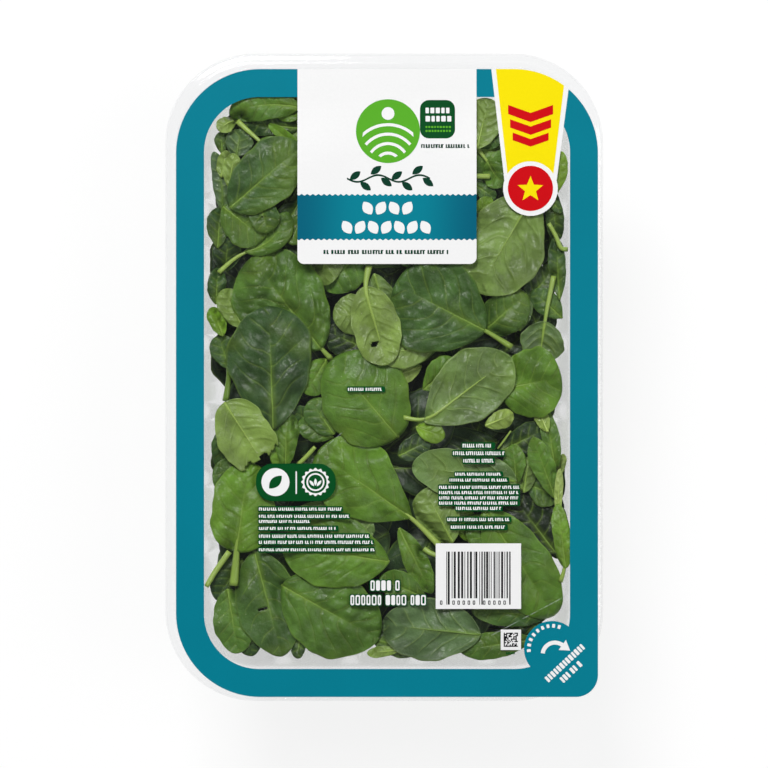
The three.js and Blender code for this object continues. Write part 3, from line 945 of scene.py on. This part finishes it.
def shell(nu, nv, keep):
    """Quads of a closed thin sheet over the kept cells: above, below, and a wall round each edge."""
    n = (nu + 1) * (nv + 1)
    idx = np.arange(n).reshape(nu + 1, nv + 1)
    a, b, c, d = idx[:-1, :-1], idx[1:, :-1], idx[1:, 1:], idx[:-1, 1:]
    k = keep
    top = np.stack([a[k], b[k], c[k], d[k]], 1)
    low = np.stack([d[k], c[k], b[k], a[k]], 1) + n
    walls = []
    pad = np.pad(keep, 1)
    for (p, q), near in (((a, b), pad[1:-1, :-2]), ((b, c), pad[2:, 1:-1]), ((c, d), pad[1:-1, 2:]), ((d, a), pad[:-2, 1:-1])):
        m = keep & ~near
        walls.append(np.stack([q[m], p[m], p[m] + n, q[m] + n], 1))
    walls = np.concatenate(walls)
    return top, low, walls


PIECES = Pieces()
UP, UNDER, STEM = 0, 1, 2


def tube(path, radii, tone, flat=1.0, sides=8):
    """A closed stalk along path (n, 3), in millimetres."""
    path = np.asarray(path, float)
    n = len(path)
    tang = np.gradient(path, axis=0)
    tang /= np.linalg.norm(tang, axis=1)[:, None] + 1e-9
    ref = np.array([0, 0, 1.0]) if abs(tang[:, 2]).mean() < 0.8 else np.array([1.0, 0, 0])
    side = np.cross(tang, ref)
    side /= np.linalg.norm(side, axis=1)[:, None] + 1e-9
    up = np.cross(side, tang)
    ang = np.linspace(0, 2 * np.pi, sides, endpoint=False)
    groove = 1 - 0.22 * np.exp(-(((ang - np.pi / 2) / 0.5) ** 2))
    ring = (np.cos(ang) * groove)[None, :, None] * side[:, None, :] + (np.sin(ang) * groove * flat)[None, :, None] * up[:, None, :]
    verts = path[:, None, :] + ring * np.asarray(radii)[:, None, None]
    verts = verts.reshape(-1, 3)
    quads = []
    i = np.arange(sides)
    j = (i + 1) % sides
    for k in range(n - 1):
        quads.append(np.stack([k * sides + i, k * sides + j, (k + 1) * sides + j, (k + 1) * sides + i], 1))
    # the ends close on two points each, as rows of quads
    for base, flip in ((0, True), ((n - 1) * sides, False)):
        h = sides // 2
        for q in range(h - 1):
            f = [base + q, base + q + 1, base + sides - 2 - q, base + sides - 1 - q]
            quads.append(np.array([f[::-1] if flip else f]))
    quads = np.concatenate(quads)
    along = np.repeat(np.linspace(0, n, n), sides)
    at = np.column_stack([along, np.tile(np.cos(ang), n), np.tile(np.sin(ang), n)])
    kind = np.column_stack([np.full(len(verts), tone), np.zeros(len(verts)), np.full(len(verts), 0.3)])
    return verts, quads, at, kind


def add_stalk(name, path, radii, tone, **how):
    v, q, at, kind = tube(path, radii, tone, **how)
    PIECES.add(name, v, q, np.full(len(q), STEM), at, kind, np.zeros_like(at))


def lay_leaf(bed, piece, rng, base, tip, width, face="u", tone=0.45, res=(36, 26), ease=0.75, stalk=None, stalk_r=1.0, stalk_tone=None,
             tilt=None, rib=True, holes=(), torn=None, sides=8, **shape):
    """Lays one leaf on a bed. base, tip and stalk are places on the bed, in millimetres."""
    base, tip = np.array(base, float), np.array(tip, float)
    run = tip - base
    length = float(np.hypot(*run))
    cx, sx = run / length
    nu, nv = res
    leaf = leaf_surface(length, width, rng, nu, nv, **shape)
    flip = -1.0 if face == "n" else 1.0
    x, y, z = leaf["wx"], leaf["wy"] * flip, leaf["z"] * flip
    tilt = tilt if tilt is not None else (rng.uniform(-0.07, 0.07), rng.uniform(-0.07, 0.07))
    z = z + tilt[0] * (x - length / 2) + tilt[1] * y
    a, b = base[0] + x * cx - y * sx, base[1] + x * sx + y * cx
    relief = z.max() - z
    depth = bed.drape(a, b, relief, ease)
    bed.cover(a, b, depth)
    keep = np.ones((nu, nv), bool)
    cs = (leaf["s"][:-1, :-1] + leaf["s"][1:, 1:]) / 2
    ca = (a[:-1, :-1] + a[1:, 1:]) / 2
    cb = (b[:-1, :-1] + b[1:, 1:]) / 2
    for ha, hb, hr, stretch, turn in holes:
        da, db = ca - ha, cb - hb
        u = da * math.cos(turn) + db * math.sin(turn)
        v = -da * math.sin(turn) + db * math.cos(turn)
        keep &= (u / (hr * stretch)) ** 2 + (v / hr) ** 2 > 1
    if torn is not None:
        ct = (leaf["t"][:-1, :-1] + leaf["t"][1:, 1:]) / 2
        keep &= cs < torn + 0.025 * np.sin(ct * 9) + 0.012 * np.sin(ct * 23)
    upper = bed.place(a, b, depth)
    lower = bed.place(a, b, depth + THICK)
    verts = np.concatenate([upper.reshape(-1, 3), lower.reshape(-1, 3)])
    top, low, walls = shell(nu, nv, keep)
    if bed.flips ^ (flip < 0):
        top, low, walls = top[:, ::-1], low[:, ::-1], walls[:, ::-1]
    outer_side, inner_side = (UP, UNDER) if face == "u" else (UNDER, UP)
    index = np.concatenate([np.full(len(top), outer_side), np.full(len(low), inner_side), np.full(len(walls), outer_side)])
    used = np.unique(np.concatenate([top, low, walls]))
    remap = np.full(len(verts), -1)
    remap[used] = np.arange(len(used))
    at = np.column_stack([leaf["x"].ravel(), leaf["y"].ravel(), leaf["s"].ravel()])
    kind = np.column_stack([np.full(at.shape[0], tone), leaf["t"].ravel(), np.full(at.shape[0], leaf["seed"])])
    vein = np.column_stack([leaf["c"].ravel(), np.full(at.shape[0], 1 / leaf["pitch"]), np.zeros(at.shape[0])])
    at, kind, vein = np.vstack([at, at]), np.vstack([kind, kind]), np.vstack([vein, vein])
    PIECES.add(piece, verts[used], remap[np.concatenate([top, low, walls])], index, at[used], kind[used], vein[used])

    # midrib: a tapered rib on the under side, which runs on as the stalk
    mid = nv // 2
    ma, mb, md = a[:, mid], b[:, mid], depth[:, mid]
    reach = 0.74 if torn is None else torn - 0.08
    rows = leaf["s"][:, mid] < reach
    ma, mb, md = ma[rows][::2], mb[rows][::2], md[rows][::2]
    ms = leaf["s"][:, mid][rows][::2]
    r = stalk_r * (0.56 * (1 - ms / 0.8) + 0.06)
    sink = (THICK + r * 0.45) if face == "u" else r * 0.05
    tone_s = stalk_tone if stalk_tone is not None else min(1.0, tone + 0.2)
    path = bed.place(ma[::-1], mb[::-1], (md + sink)[::-1])
    radii = np.maximum(r[::-1], 0.12)
    if stalk is not None:
        pts = [np.array(p, float) for p in (stalk if isinstance(stalk[0], (tuple, list)) else [stalk])]
        ctrl = [np.array([ma[0], mb[0]])] + pts
        steps = []
        for k in range(1, len(ctrl)):
            p0, p1 = ctrl[k - 1], ctrl[k]
            m = max(4, int(np.hypot(*(p1 - p0)) / 1.8))
            steps += [p0 + (p1 - p0) * i / m for i in range(1, m + 1)]
        steps = np.array(steps)
        if len(steps) > 4:  # ease the joins
            for _ in range(6):
                steps[1:-1] = (steps[:-2] + steps[2:] + 2 * steps[1:-1]) / 4
        i, j = bed.cells(steps[:, 0], steps[:, 1])
        # the stalk clears what already lies above it, unless the leaf is on top itself
        d0 = md[0] + sink[0] if np.ndim(sink) else md[0] + sink
        level = d0 + np.linspace(0, 1.0, len(steps))
        have = bed.deep[i, j]
        for q in range(len(steps)):
            if have[q] > level[q] + 6:
                continue
            level[q] = max(level[q], min(have[q] + 0.2, level[q] + 0.8)) if have[q] > 0.5 else level[q]
        sr = stalk_r * np.linspace(0.66, 1.0, len(steps))
        k = len(path)
        path = np.vstack([path, bed.place(steps[:, 0], steps[:, 1], level + sr * 0.5)])
        radii = np.concatenate([radii, sr])
        for _ in range(10):  # the stalk runs on from the midrib without a kink
            lo = max(1, k - 3)
            path[lo:-1] = (path[lo - 1 : -2] + path[lo + 1 :] + 2 * path[lo:-1]) / 4
            radii[lo:-1] = (radii[lo - 1 : -2] + radii[lo + 1 :] + 2 * radii[lo:-1]) / 4
        for off in (-1.0, 0.0, 1.0):
            bed.cover(steps[:, 0] + off, steps[:, 1] + off, level + sr)
    if rib or stalk is not None:
        add_stalk(piece + "_stalks", path, radii, tone_s, sides=sides)
    return depth


def top_place(a, b, depth):
    z = FILM_Z - 0.35 + film_rise(a, b) - depth
    return np.stack([a, b, np.broadcast_to(z, np.shape(a))], -1)


REF_INSET = 23.5
REF_HX, REF_HY, REF_R = TRAY_WIDTH / 2 - REF_INSET, TRAY_LENGTH / 2 - REF_INSET, 18.0
REF_RUN = [2 * (REF_HY - REF_R), math.pi / 2 * REF_R, 2 * (REF_HX - REF_R), math.pi / 2 * REF_R] * 2
REF_ALL = sum(REF_RUN)


def ref_point(a):
    """Point and outward normal on the rounded rectangle that runs just inside the walls."""
    a = np.mod(np.asarray(a, float), REF_ALL)
    x, y, nx, ny = (np.zeros_like(a) for _ in range(4))
    hx, hy, r = REF_HX, REF_HY, REF_R
    starts = np.concatenate([[0], np.cumsum(REF_RUN)])
    corners = [(hx - r, hy - r, 0), (-hx + r, hy - r, 90), (-hx + r, -hy + r, 180), (hx - r, -hy + r, 270)]
    sides = [((hx, -hy + r), (0, 1), (1, 0)), ((hx - r, hy), (-1, 0), (0, 1)), ((-hx, hy - r), (0, -1), (-1, 0)), ((-hx + r, -hy), (1, 0), (0, -1))]
    for k in range(8):
        m = (a >= starts[k]) & (a < starts[k + 1] + 1e-9)
        d = a[m] - starts[k]
        if k % 2 == 0:
            (px, py), (dx, dy), (ox, oy) = sides[k // 2]
            x[m], y[m], nx[m], ny[m] = px + dx * d, py + dy * d, ox, oy
        else:
            cx, cy, a0 = corners[k // 2]
            ang = math.radians(a0) + d / r
            x[m], y[m] = cx + r * np.cos(ang), cy + r * np.sin(ang)
            nx[m], ny[m] = np.cos(ang), np.sin(ang)
    return x, y, nx, ny


BEND_R, FLOOR_LIFT = 8.0, 4.2


def wall_place(a, b, depth):
    """Up the wall from b = 12, and below that round the bottom edge and on along the floor."""
    x, y, nx, ny = ref_point(a)
    b = np.minimum(np.asarray(b, float), 101.5)
    start = FLOOR_LIFT + BEND_R
    past = np.maximum(start - b, 0)
    ang = np.minimum(past / BEND_R, math.pi / 2)
    z0 = np.where(past > 0, start - BEND_R * np.sin(ang), b)
    inward = BEND_R * (1 - np.cos(ang)) + np.maximum(past - BEND_R * math.pi / 2, 0)
    off = np.where(nx < 0, 5.6 * nx * nx, 3.2 * nx * nx) + np.where(ny < 0, 5.0 * ny * ny, 2.0 * ny * ny)
    off = off + 4.5 * (2 * nx * ny) ** 2
    out = REF_INSET - (wall_inset(z0) + RIB_DEPTH + 0.7) - off * smooth((z0 - 18) / 55) - inward - depth * np.cos(ang)
    return np.stack([x + nx * out, y + ny * out, z0 + depth * np.sin(ang)], -1)


def floor_place(a, b, depth):
    inside = round_rect_depth(a, b, TRAY_WIDTH / 2 - 40, TRAY_LENGTH / 2 - 40, 10)
    z = 1.3 + 2.5 * smooth((inside + 2) / 4) + depth
    return np.stack([a, b, z], -1)


def build_leaves():
    rng = np.random.default_rng(2024)
    top = Bed(top_place, (-92, 92), (-140, 140))
    top.flips = False
    # name of the piece, base, tip, width, face, tone, and what is special; places in the print's pixels
    P = lambda *xy: pin(*xy)

    def leaf(bx, by, tx, ty, w, face, tone, **how):
        how = dict(how)
        if "stalk" in how:
            how["stalk"] = [P(*q) for q in how["stalk"]]
        if "holes" in how:
            how["holes"] = [(*P(hx, hy), r * PX, st, tu) for hx, hy, r, st, tu in how["holes"]]
        if by + ty < 2 * 300:
            piece = "leaves_top_a"
        elif by + ty < 2 * 440:
            piece = "leaves_top_b"
        else:
            piece = "leaves_top_c"
        big = np.hypot(bx - tx, by - ty) > 60
        own = np.random.default_rng(int(bx * 1009 + by * 9176 + tx * 101 + ty * 13))
        lay_leaf(top, piece, own, P(bx, by), P(tx, ty), w * PX, face, tone, res=(48, 34) if big else (26, 18), **how)

    def stick(points, wide, tone, depth=1.0):
        pts = np.array([P(*q) for q in points], float)
        m = 12
        t = np.linspace(0, len(pts) - 1, m)
        xy = np.column_stack([np.interp(t, np.arange(len(pts)), pts[:, k]) for k in (0, 1)])
        for _ in range(2):
            xy[1:-1] = (xy[:-2] + xy[2:] + 2 * xy[1:-1]) / 4
        r = wide * PX / 2
        d = np.linspace(depth, depth + 1.5, m) + r
        add_stalk("loose_stalks", top_place(xy[:, 0], xy[:, 1], d), np.full(m, r) * np.linspace(0.92, 1.08, m), tone)
        for off in (-1.0, 0.0, 1.0):
            top.cover(xy[:, 0] + off, xy[:, 1] + off, d + r)

    # loose stalks and the leaves that lie against the film
    stick([(315, 447), (307, 456), (298, 465)], 4.4, 0.85)
    stick([(466, 175), (478, 176), (490, 176)], 5.2, 0.85)
    stick([(206, 587), (214, 573), (229, 552)], 5.4, 0.8)
    stick([(437, 556), (430, 553), (424, 549)], 5.0, 0.8)
    stick([(549, 223), (557, 237), (561, 249), (568, 249)], 4.4, 0.8)
    stick([(511, 431), (504, 441), (498, 449)], 1.8, 0.8, 3.0)

    leaf(224, 402, 268, 471, 57, "n", 0.6, torn=0.81, bull=0.2, fold=0.02, p=0.95, q=0.5)
    leaf(273, 430, 269, 306, 84, "u", 0.08, p=1.3, q=0.54, bull=0.5, fold=-0.03, ease=0.9)
    leaf(364, 286, 387, 365, 50, "n", 0.62, holes=[(375, 344, 2.6, 1.5, 0.6)], stalk=[(369, 266)], stalk_r=1.7, bull=0.5, ripple=1.3)
    leaf(381, 309, 333, 318, 43, "n", 0.56, bull=0.5, ripple=1.7, fold=0.12)
    leaf(487, 331, 395, 284, 97, "u", 0.25, stalk=[(512, 347)], stalk_r=1.5, bull=0.9, stalk_tone=0.7, p=1.3, q=0.52)
    leaf(437, 345, 379, 355, 37, "n", 0.55, bull=0.3, ripple=1.3)
    leaf(399, 438, 332, 359, 86, "u", 0.46, q=0.5, bull=0.12, fold=0.0, ease=0.9, p=0.98)
    leaf(413, 519, 317, 452, 77, "u", 0.52, stalk=[(428, 534), (441, 548)], stalk_r=1.6, bull=0.35, stalk_tone=0.9, p=1.6, q=0.55)
    leaf(424, 423, 511, 357, 70, "n", 0.4, stalk=[(402, 417)], stalk_r=1.25, bull=0.45, stalk_tone=0.8, p=1.35)
    leaf(497, 390, 562, 377, 73, "u", 0.52, bull=0.2, q=0.5, ease=0.85)
    leaf(545, 321, 540, 363, 43, "n", 0.22, stalk=[(549, 300), (554, 276)], stalk_r=1.3, bull=0.6, stalk_tone=0.75)
    leaf(536, 191, 477, 292, 80, "n", 0.5, bull=0.75, fold=0.08)
    leaf(477, 149, 489, 98, 38, "n", 0.55, bull=0.3)
    leaf(558, 192, 562, 151, 15, "u", 0.74, bull=0.5, ripple=1.6)
    leaf(229, 208, 302, 145, 62, "u", 0.2, bull=0.6, q=0.52, p=1.1, ripple=1.1)
    leaf(259, 139, 290, 178, 44, "u", 0.42, stalk=[(250, 133), (237, 120)], stalk_r=1.35, bull=0.3, stalk_tone=0.85)
    leaf(229, 188, 234, 153, 19, "n", 0.62, bull=1.2, ripple=2.2, fold=0.2)
    leaf(221, 177, 226, 150, 15, "n", 0.66, bull=1.0, ripple=1.8)
    leaf(259, 198, 268, 233, 31, "u", 0.2, holes=[(262, 217, 1.6, 1.0, 0)], bull=0.1, fold=0.05)
    leaf(222, 206, 264, 238, 48, "u", 0.32, bull=0.15, q=0.5)
    leaf(243, 251, 286, 211, 27, "u", 0.38, bend=0.7, stalk=[(230, 260), (218, 272)], stalk_r=1.15, bull=0.2, stalk_tone=0.9)
    leaf(236, 553, 249, 462, 66, "u", 0.58, stalk=[(235, 570), (233, 586)], stalk_r=2.3, bull=0.3, stalk_tone=0.7, p=0.9)
    leaf(390, 562, 282, 544, 74, "u", 0.5, bull=0.5)
    leaf(281, 585, 379, 640, 84, "u", 0.42, bull=0.7, p=1.1, ripple=1.2)
    leaf(322, 350, 250, 257, 91, "u", 0.4, stalk=[(331, 359)], stalk_r=1.4, bull=1.35, stalk_tone=0.7, ease=0.85, p=1.3, q=0.55, ripple=1.2)
    leaf(254, 551, 282, 657, 62, "u", 0.28, holes=[(263, 609, 1.5, 5.0, 0.45)], bull=0.3)
    leaf(481, 635, 382, 625, 61, "n", 0.12, bull=0.35, q=0.52)
    leaf(483, 507, 555, 617, 62, "u", 0.46, bull=0.25)
    leaf(566, 569, 558, 504, 19, "u", 0.64, stalk=[(561, 582)], stalk_r=1.2)
    leaf(558, 521, 560, 469, 9, "n", 0.92, ripple=1.4)
    leaf(517, 482, 412, 466, 52, "n", 0.3, bull=0.2)
    leaf(556, 500, 533, 437, 25, "u", 0.46, fold=0.3, ripple=1.5, q=0.7)
    leaf(330, 236, 319, 286, 38, "n", 0.5, bull=0.3)
    leaf(533, 640, 459, 650, 27, "u", 0.42)

    # the layer that shows between them
    leaf(302, 108, 229, 114, 32, "u", 0.42, bend=0.35)
    leaf(302, 150, 268, 123, 12, "u", 0.6, fold=0.3)
    leaf(236, 118, 217, 129, 17, "n", 0.66)
    leaf(236, 156, 241, 128, 27, "n", 0.04)
    leaf(222, 210, 213, 151, 18, "n", 0.0, bend=-0.2)
    leaf(217, 248, 220, 206, 24, "u", 0.05)
    leaf(243, 328, 222, 289, 28, "n", 0.55, ripple=1.2)
    leaf(223, 336, 211, 307, 17, "u", 0.66)
    leaf(229, 369, 218, 335, 26, "u", 0.16, stalk=[(228, 385), (225, 401)], stalk_r=1.6, stalk_tone=0.35)
    leaf(215, 304, 217, 267, 18, "u", 0.15)
    leaf(262, 501, 215, 465, 42, "u", 0.35)
    leaf(370, 237, 327, 291, 44, "u", 0.4)
    leaf(374, 273, 394, 341, 38, "n", 0.4)
    leaf(327, 358, 305, 394, 31, "u", 0.5, bull=0.15)
    leaf(334, 435, 310, 400, 32, "u", 0.3)
    leaf(333, 438, 298, 422, 25, "u", 0.42)
    leaf(285, 471, 287, 411, 25, "u", 0.45)
    leaf(283, 471, 277, 439, 21, "u", 0.62)
    leaf(416, 427, 445, 437, 21, "u", 0.76)
    leaf(548, 432, 538, 410, 14, "n", 0.8)
    leaf(556, 470, 546, 410, 19, "u", 0.42)
    leaf(560, 478, 564, 454, 9, "n", 0.86)
    leaf(517, 487, 513, 444, 22, "u", 0.42, fold=0.35, ripple=1.5, q=0.72)
    leaf(524, 493, 529, 457, 22, "n", 0.46, fold=0.35, ripple=1.5, q=0.72)
    leaf(528, 484, 560, 498, 30, "u", 0.22, fold=0.2)
    leaf(453, 543, 424, 489, 46, "n", 0.5)
    leaf(500, 550, 468, 517, 32, "u", 0.5)
    leaf(550, 617, 472, 611, 27, "u", 0.2, bull=0.2)
    leaf(426, 598, 380, 578, 30, "u", 0.45)
    leaf(399, 528, 432, 594, 24, "u", 0.52)
    leaf(227, 589, 238, 654, 38, "u", 0.38, bull=0.3)
    leaf(300, 507, 374, 534, 38, "n", 0.36)
    leaf(487, 160, 503, 187, 26, "u", 0.45, stalk=[(477, 147)], stalk_r=1.1, stalk_tone=0.8)
    leaf(473, 218, 492, 198, 17, "u", 0.72)
    leaf(560, 300, 556, 236, 18, "u", 0.1)
    leaf(402, 650, 367, 654, 11, "n", 0.6)

    # deeper ones; their tones below nought are painted shade, darkening them as if in the shade under the others
    leaf(222, 154, 220, 131, 13, "u", 0.08)
    leaf(302, 211, 291, 245, 22, "u", 0.3)
    leaf(224, 271, 228, 235, 28, "u", -0.05)
    leaf(310, 87, 279, 119, 26, "u", 0.6)
    leaf(438, 349, 383, 350, 44, "u", 0.38, bend=0.3)
    leaf(422, 366, 390, 378, 21, "n", 0.74)
    leaf(423, 390, 457, 360, 30, "u", 0.5)
    leaf(317, 427, 291, 409, 21, "u", 0.2)
    leaf(483, 332, 527, 293, 44, "u", 0.25)
    leaf(520, 331, 524, 297, 22, "n", 0.22)
    leaf(485, 426, 514, 414, 19, "n", 0.8)
    leaf(507, 107, 484, 148, 26, "u", 0.3)
    leaf(473, 183, 496, 198, 16, "u", 0.25)
    leaf(550, 198, 562, 213, 10, "u", 0.1)
    leaf(563, 318, 533, 290, 26, "u", 0.25)
    leaf(470, 543, 462, 506, 23, "u", 0.7)
    leaf(557, 554, 513, 497, 54, "u", -0.9)
    leaf(242, 560, 215, 601, 34, "u", 0.0)
    leaf(300, 636, 297, 659, 14, "u", 0.04)
    leaf(300, 199, 281, 231, 30, "u", 0.15)
    leaf(553, 188, 557, 241, 19, "u", 0.0)
    leaf(527, 302, 556, 266, 30, "u", 0.05)
    leaf(547, 629, 503, 622, 20, "u", -0.75)
    leaf(544, 522, 557, 491, 27, "u", -0.75)
    leaf(300, 127, 236, 122, 23, "u", 0.02)
    leaf(398, 456, 430, 440, 26, "u", -0.1)
    leaf(375, 352, 326, 331, 36, "u", -0.6)
    leaf(372, 641, 425, 649, 25, "u", 0.08)
    leaf(243, 612, 252, 657, 26, "u", 0.1)
    leaf(224, 425, 219, 470, 20, "u", 0.2)
    leaf(500, 452, 548, 428, 30, "u", -0.4)
    leaf(560, 503, 536, 441, 36, "u", -0.35)
    leaf(558, 452, 505, 470, 34, "n", -0.35)
    leaf(560, 560, 546, 492, 34, "u", -0.45)

    # fill under the printed panel and below all of these
    for _ in range(16):
        cx, cy = rng.uniform(-36, 38), rng.uniform(58, 122)
        ang, length = rng.uniform(0, 6.28), rng.uniform(34, 50)
        dx, dy = math.cos(ang) * length / 2, math.sin(ang) * length / 2
        lay_leaf(top, "leaves_top_fill", rng, (cx - dx, cy - dy), (cx + dx, cy + dy), length * rng.uniform(0.6, 0.8), rng.choice(["u", "n"], p=[0.7, 0.3]), rng.uniform(0.2, 0.6), res=(16, 12), sides=6)
    top.deep = np.maximum(top.deep, 12.0)
    # painted shade: these fill leaves get tones from -0.55 to 0.05, so they are darkened as if in the shade deep in the
    # heap
    for k in range(104):
        cx, cy = rng.uniform(-74, 74), rng.uniform(-120, 120)
        ang, length = rng.uniform(0, 6.28), rng.uniform(32, 50)
        dx, dy = math.cos(ang) * length / 2, math.sin(ang) * length / 2
        wx, wy = abs(dx) + abs(math.sin(ang)) * length * 0.2, abs(dy) + abs(math.cos(ang)) * length * 0.2
        cx, cy = float(np.clip(cx, -81 + wx, 82 - wx)), float(np.clip(cy, -129 + wy, 130 - wy))
        ex, ey = abs(cx) - 49, abs(cy) - 97
        if ex > 0 and ey > 0 and math.hypot(ex, ey) > 32 - 0.42 * length:  # kept out of the rounded corners
            k_in = (32 - 0.42 * length) / math.hypot(ex, ey)
            cx, cy = math.copysign(49 + ex * k_in, cx), math.copysign(97 + ey * k_in, cy)
        lay_leaf(top, "leaves_top_fill", rng, (cx - dx, cy - dy), (cx + dx, cy + dy), length * rng.uniform(0.58, 0.8), rng.choice(["u", "n"], p=[0.9, 0.1]), rng.uniform(-0.55, 0.05), res=(14, 10), ease=0.6, sides=6)

    # against the walls
    wall = Bed(wall_place, (0, REF_ALL), (-30, 104), wraps=True)
    wall.flips = False
    for k in range(200):
        length = rng.uniform(30, 54)
        wide = length * rng.uniform(0.54, 0.8)
        ang = rng.uniform(0, 2 * math.pi)
        reach = abs(math.sin(ang)) * length / 2 + abs(math.cos(ang)) * wide / 2 * 0.8
        lo, hi = -13 + reach, 97 - reach * 0.95
        ca = (k * 0.618034 * REF_ALL + rng.uniform(-12, 12)) % REF_ALL
        cb = lo + (max(hi, lo + 1) - lo) * ((k * 0.7548777 + rng.uniform(-0.1, 0.1)) % 1.0)
        dx, dy = math.cos(ang) * length / 2, math.sin(ang) * length / 2
        ends = (ca - dx, cb - dy), (ca + dx, cb + dy)
        stalk = None
        if rng.random() < 0.5:
            out = rng.uniform(8, 20)
            turn = rng.uniform(-0.3, 0.3)
            stalk = [(ca - dx - out * math.cos(ang + turn), float(np.clip(cb - dy - out * math.sin(ang + turn), -10, 96)))]
        front = k < 120
        lay_leaf(wall, "leaves_side_%d" % (int(ca / REF_ALL * 3) % 3), rng, *ends, wide, rng.choice(["u", "n"], p=[0.66, 0.34]), float(rng.choice([rng.uniform(0.1, 0.4), rng.uniform(0.4, 0.72)])),
                 res=(20, 14) if front else (14, 10), ease=0.7, stalk=stalk, stalk_r=rng.uniform(1.0, 1.5), stalk_tone=rng.uniform(0.6, 0.95),
                 droop=rng.uniform(0.0, 0.05), tilt=(rng.uniform(-0.03, 0.03), rng.uniform(-0.03, 0.03)), sides=6)

    # on the floor of the tray
    floor = Bed(floor_place, (-80, 80), (-130, 130), start=lambda a, b: 3.0 * smooth((14 - round_rect_depth(a, b, 64, 112, 10)) / 10))
    floor.flips = True
    for k in range(64):
        length = rng.uniform(30, 50)
        wide = length * rng.uniform(0.56, 0.8)
        ang = rng.uniform(0, 2 * math.pi)
        ca, cb = rng.uniform(-48, 48), rng.uniform(-96, 96)
        dx, dy = math.cos(ang) * length / 2, math.sin(ang) * length / 2
        lay_leaf(floor, "leaves_floor", rng, (ca - dx, cb - dy), (ca + dx, cb + dy), wide, rng.choice(["u", "n"], p=[0.6, 0.4]), rng.uniform(0.12, 0.6),
                 res=(18, 14) if k < 12 else (14, 10), ease=0.7, droop=0.02, sides=6)

    made = PIECES.build([LEAF_UP, LEAF_UNDER, STALK])
    for ob in made:
        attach(ob, "root")
    return top


def build_core():
    """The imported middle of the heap, well under the leaves that show."""
    loops = []
    steps = 96

    def ring(inset, z, rough):
        hx, hy, r = TRAY_WIDTH / 2 - inset, TRAY_LENGTH / 2 - inset, max(CORNER_R - inset, 12.0)
        pts = []
        for i in range(steps):
            a = 2 * math.pi * i / steps
            c, s = math.cos(a), math.sin(a)
            e = 5.0
            k = (abs(c / hx) ** e + abs(s / hy) ** e) ** (-1 / e)
            x, y = k * c, k * s
            w = 1 - rough * (0.5 + 0.5 * math.sin(i * 0.9 + z * 0.21) * math.sin(i * 0.37 + z * 0.1)) / math.hypot(x, y)
            pts.append((x * w, y * w, z + 0.5 * rough * math.sin(i * 0.7)))
        return np.array(pts)

    for inset, z, rough in ((70, 9, 0), (44, 9.5, 2), (38, 13, 4), (35, 24, 5), (33, 40, 5), (32, 56, 4), (31, 68, 3), (32, 75, 3), (38, 79, 4), (56, 81, 4), (76, 82, 4)):
        loops.append(ring(inset, z, rough))
    verts, faces = loft(loops)
    ob = to_object("heap_core", verts, faces, [CORE])
    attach(ob, "root")
    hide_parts("spinach")


# ---------------------------------------------------------------- stage
def build_stage():
    me = bpy.data.meshes.new("studio_floor")
    w = 4.0
    me.from_pydata([(-w, -w, 0), (w, -w, 0), (w, w, 0), (-w, w, 0)], [], [(0, 1, 2, 3)])
    me.materials.append(floor_material())
    floor = bpy.data.objects.new("studio_floor", me)
    bpy.context.scene.collection.objects.link(floor)

    sc = bpy.context.scene
    sc.view_settings.view_transform = "Standard"
    sc.view_settings.look = "None"
    sc.view_settings.exposure = 0.0
    sc.view_settings.gamma = 1.0

    world = bpy.data.worlds.new("studio")
    sc.world = world
    world.use_nodes = True
    nt = world.node_tree
    bg = nt.nodes["Background"]
    at = nt.nodes.new("ShaderNodeTexCoord")
    split = nt.nodes.new("ShaderNodeSeparateXYZ")
    ramp = nt.nodes.new("ShaderNodeValToRGB")
    ramp.color_ramp.elements[0].position, ramp.color_ramp.elements[0].color = 0.0, (1.0, 1.0, 1.0, 1)
    ramp.color_ramp.elements[1].position, ramp.color_ramp.elements[1].color = 0.97, (0.3, 0.3, 0.3, 1)
    nt.links.new(at.outputs["Generated"], split.inputs[0])
    nt.links.new(split.outputs[2], ramp.inputs[0])
    nt.links.new(ramp.outputs[0], bg.inputs["Color"])
    bg.inputs["Strength"].default_value = 0.42

    def area(name, at, to, size, power, colour=(1, 1, 1)):
        light = bpy.data.lights.new(name, "AREA")
        light.shape, light.size, light.size_y = "RECTANGLE", size[0], size[1]
        light.energy, light.color = power, colour
        ob = bpy.data.objects.new(name, light)
        ob.location = at
        ob.rotation_euler = (Vector(to) - Vector(at)).to_track_quat("-Z", "Y").to_euler()
        sc.collection.objects.link(ob)

    area("key", (-0.65, 1.76, 2.75), (0, 0, 0.08), (1.2, 1.0), 101.0)
    area("fill", (1.45, -0.1, 2.4), (0, 0, 0.08), (1.3, 1.3), 19.0)

    far = 1.8
    cx, cy = pin(384, 384)
    cam = bpy.data.cameras.new("camera")
    cam.sensor_width = 36
    cam.lens = 18 * far / (384 * PX * MM)
    cam.clip_start, cam.clip_end = 0.05, 20
    ob = bpy.data.objects.new("camera", cam)
    ob.location = (cx * MM, cy * MM, 0.1045 + far)
    sc.collection.objects.link(ob)
    sc.camera = ob


build_stage()
build_tray()
build_film()
build_print()
build_core()
build_leaves()
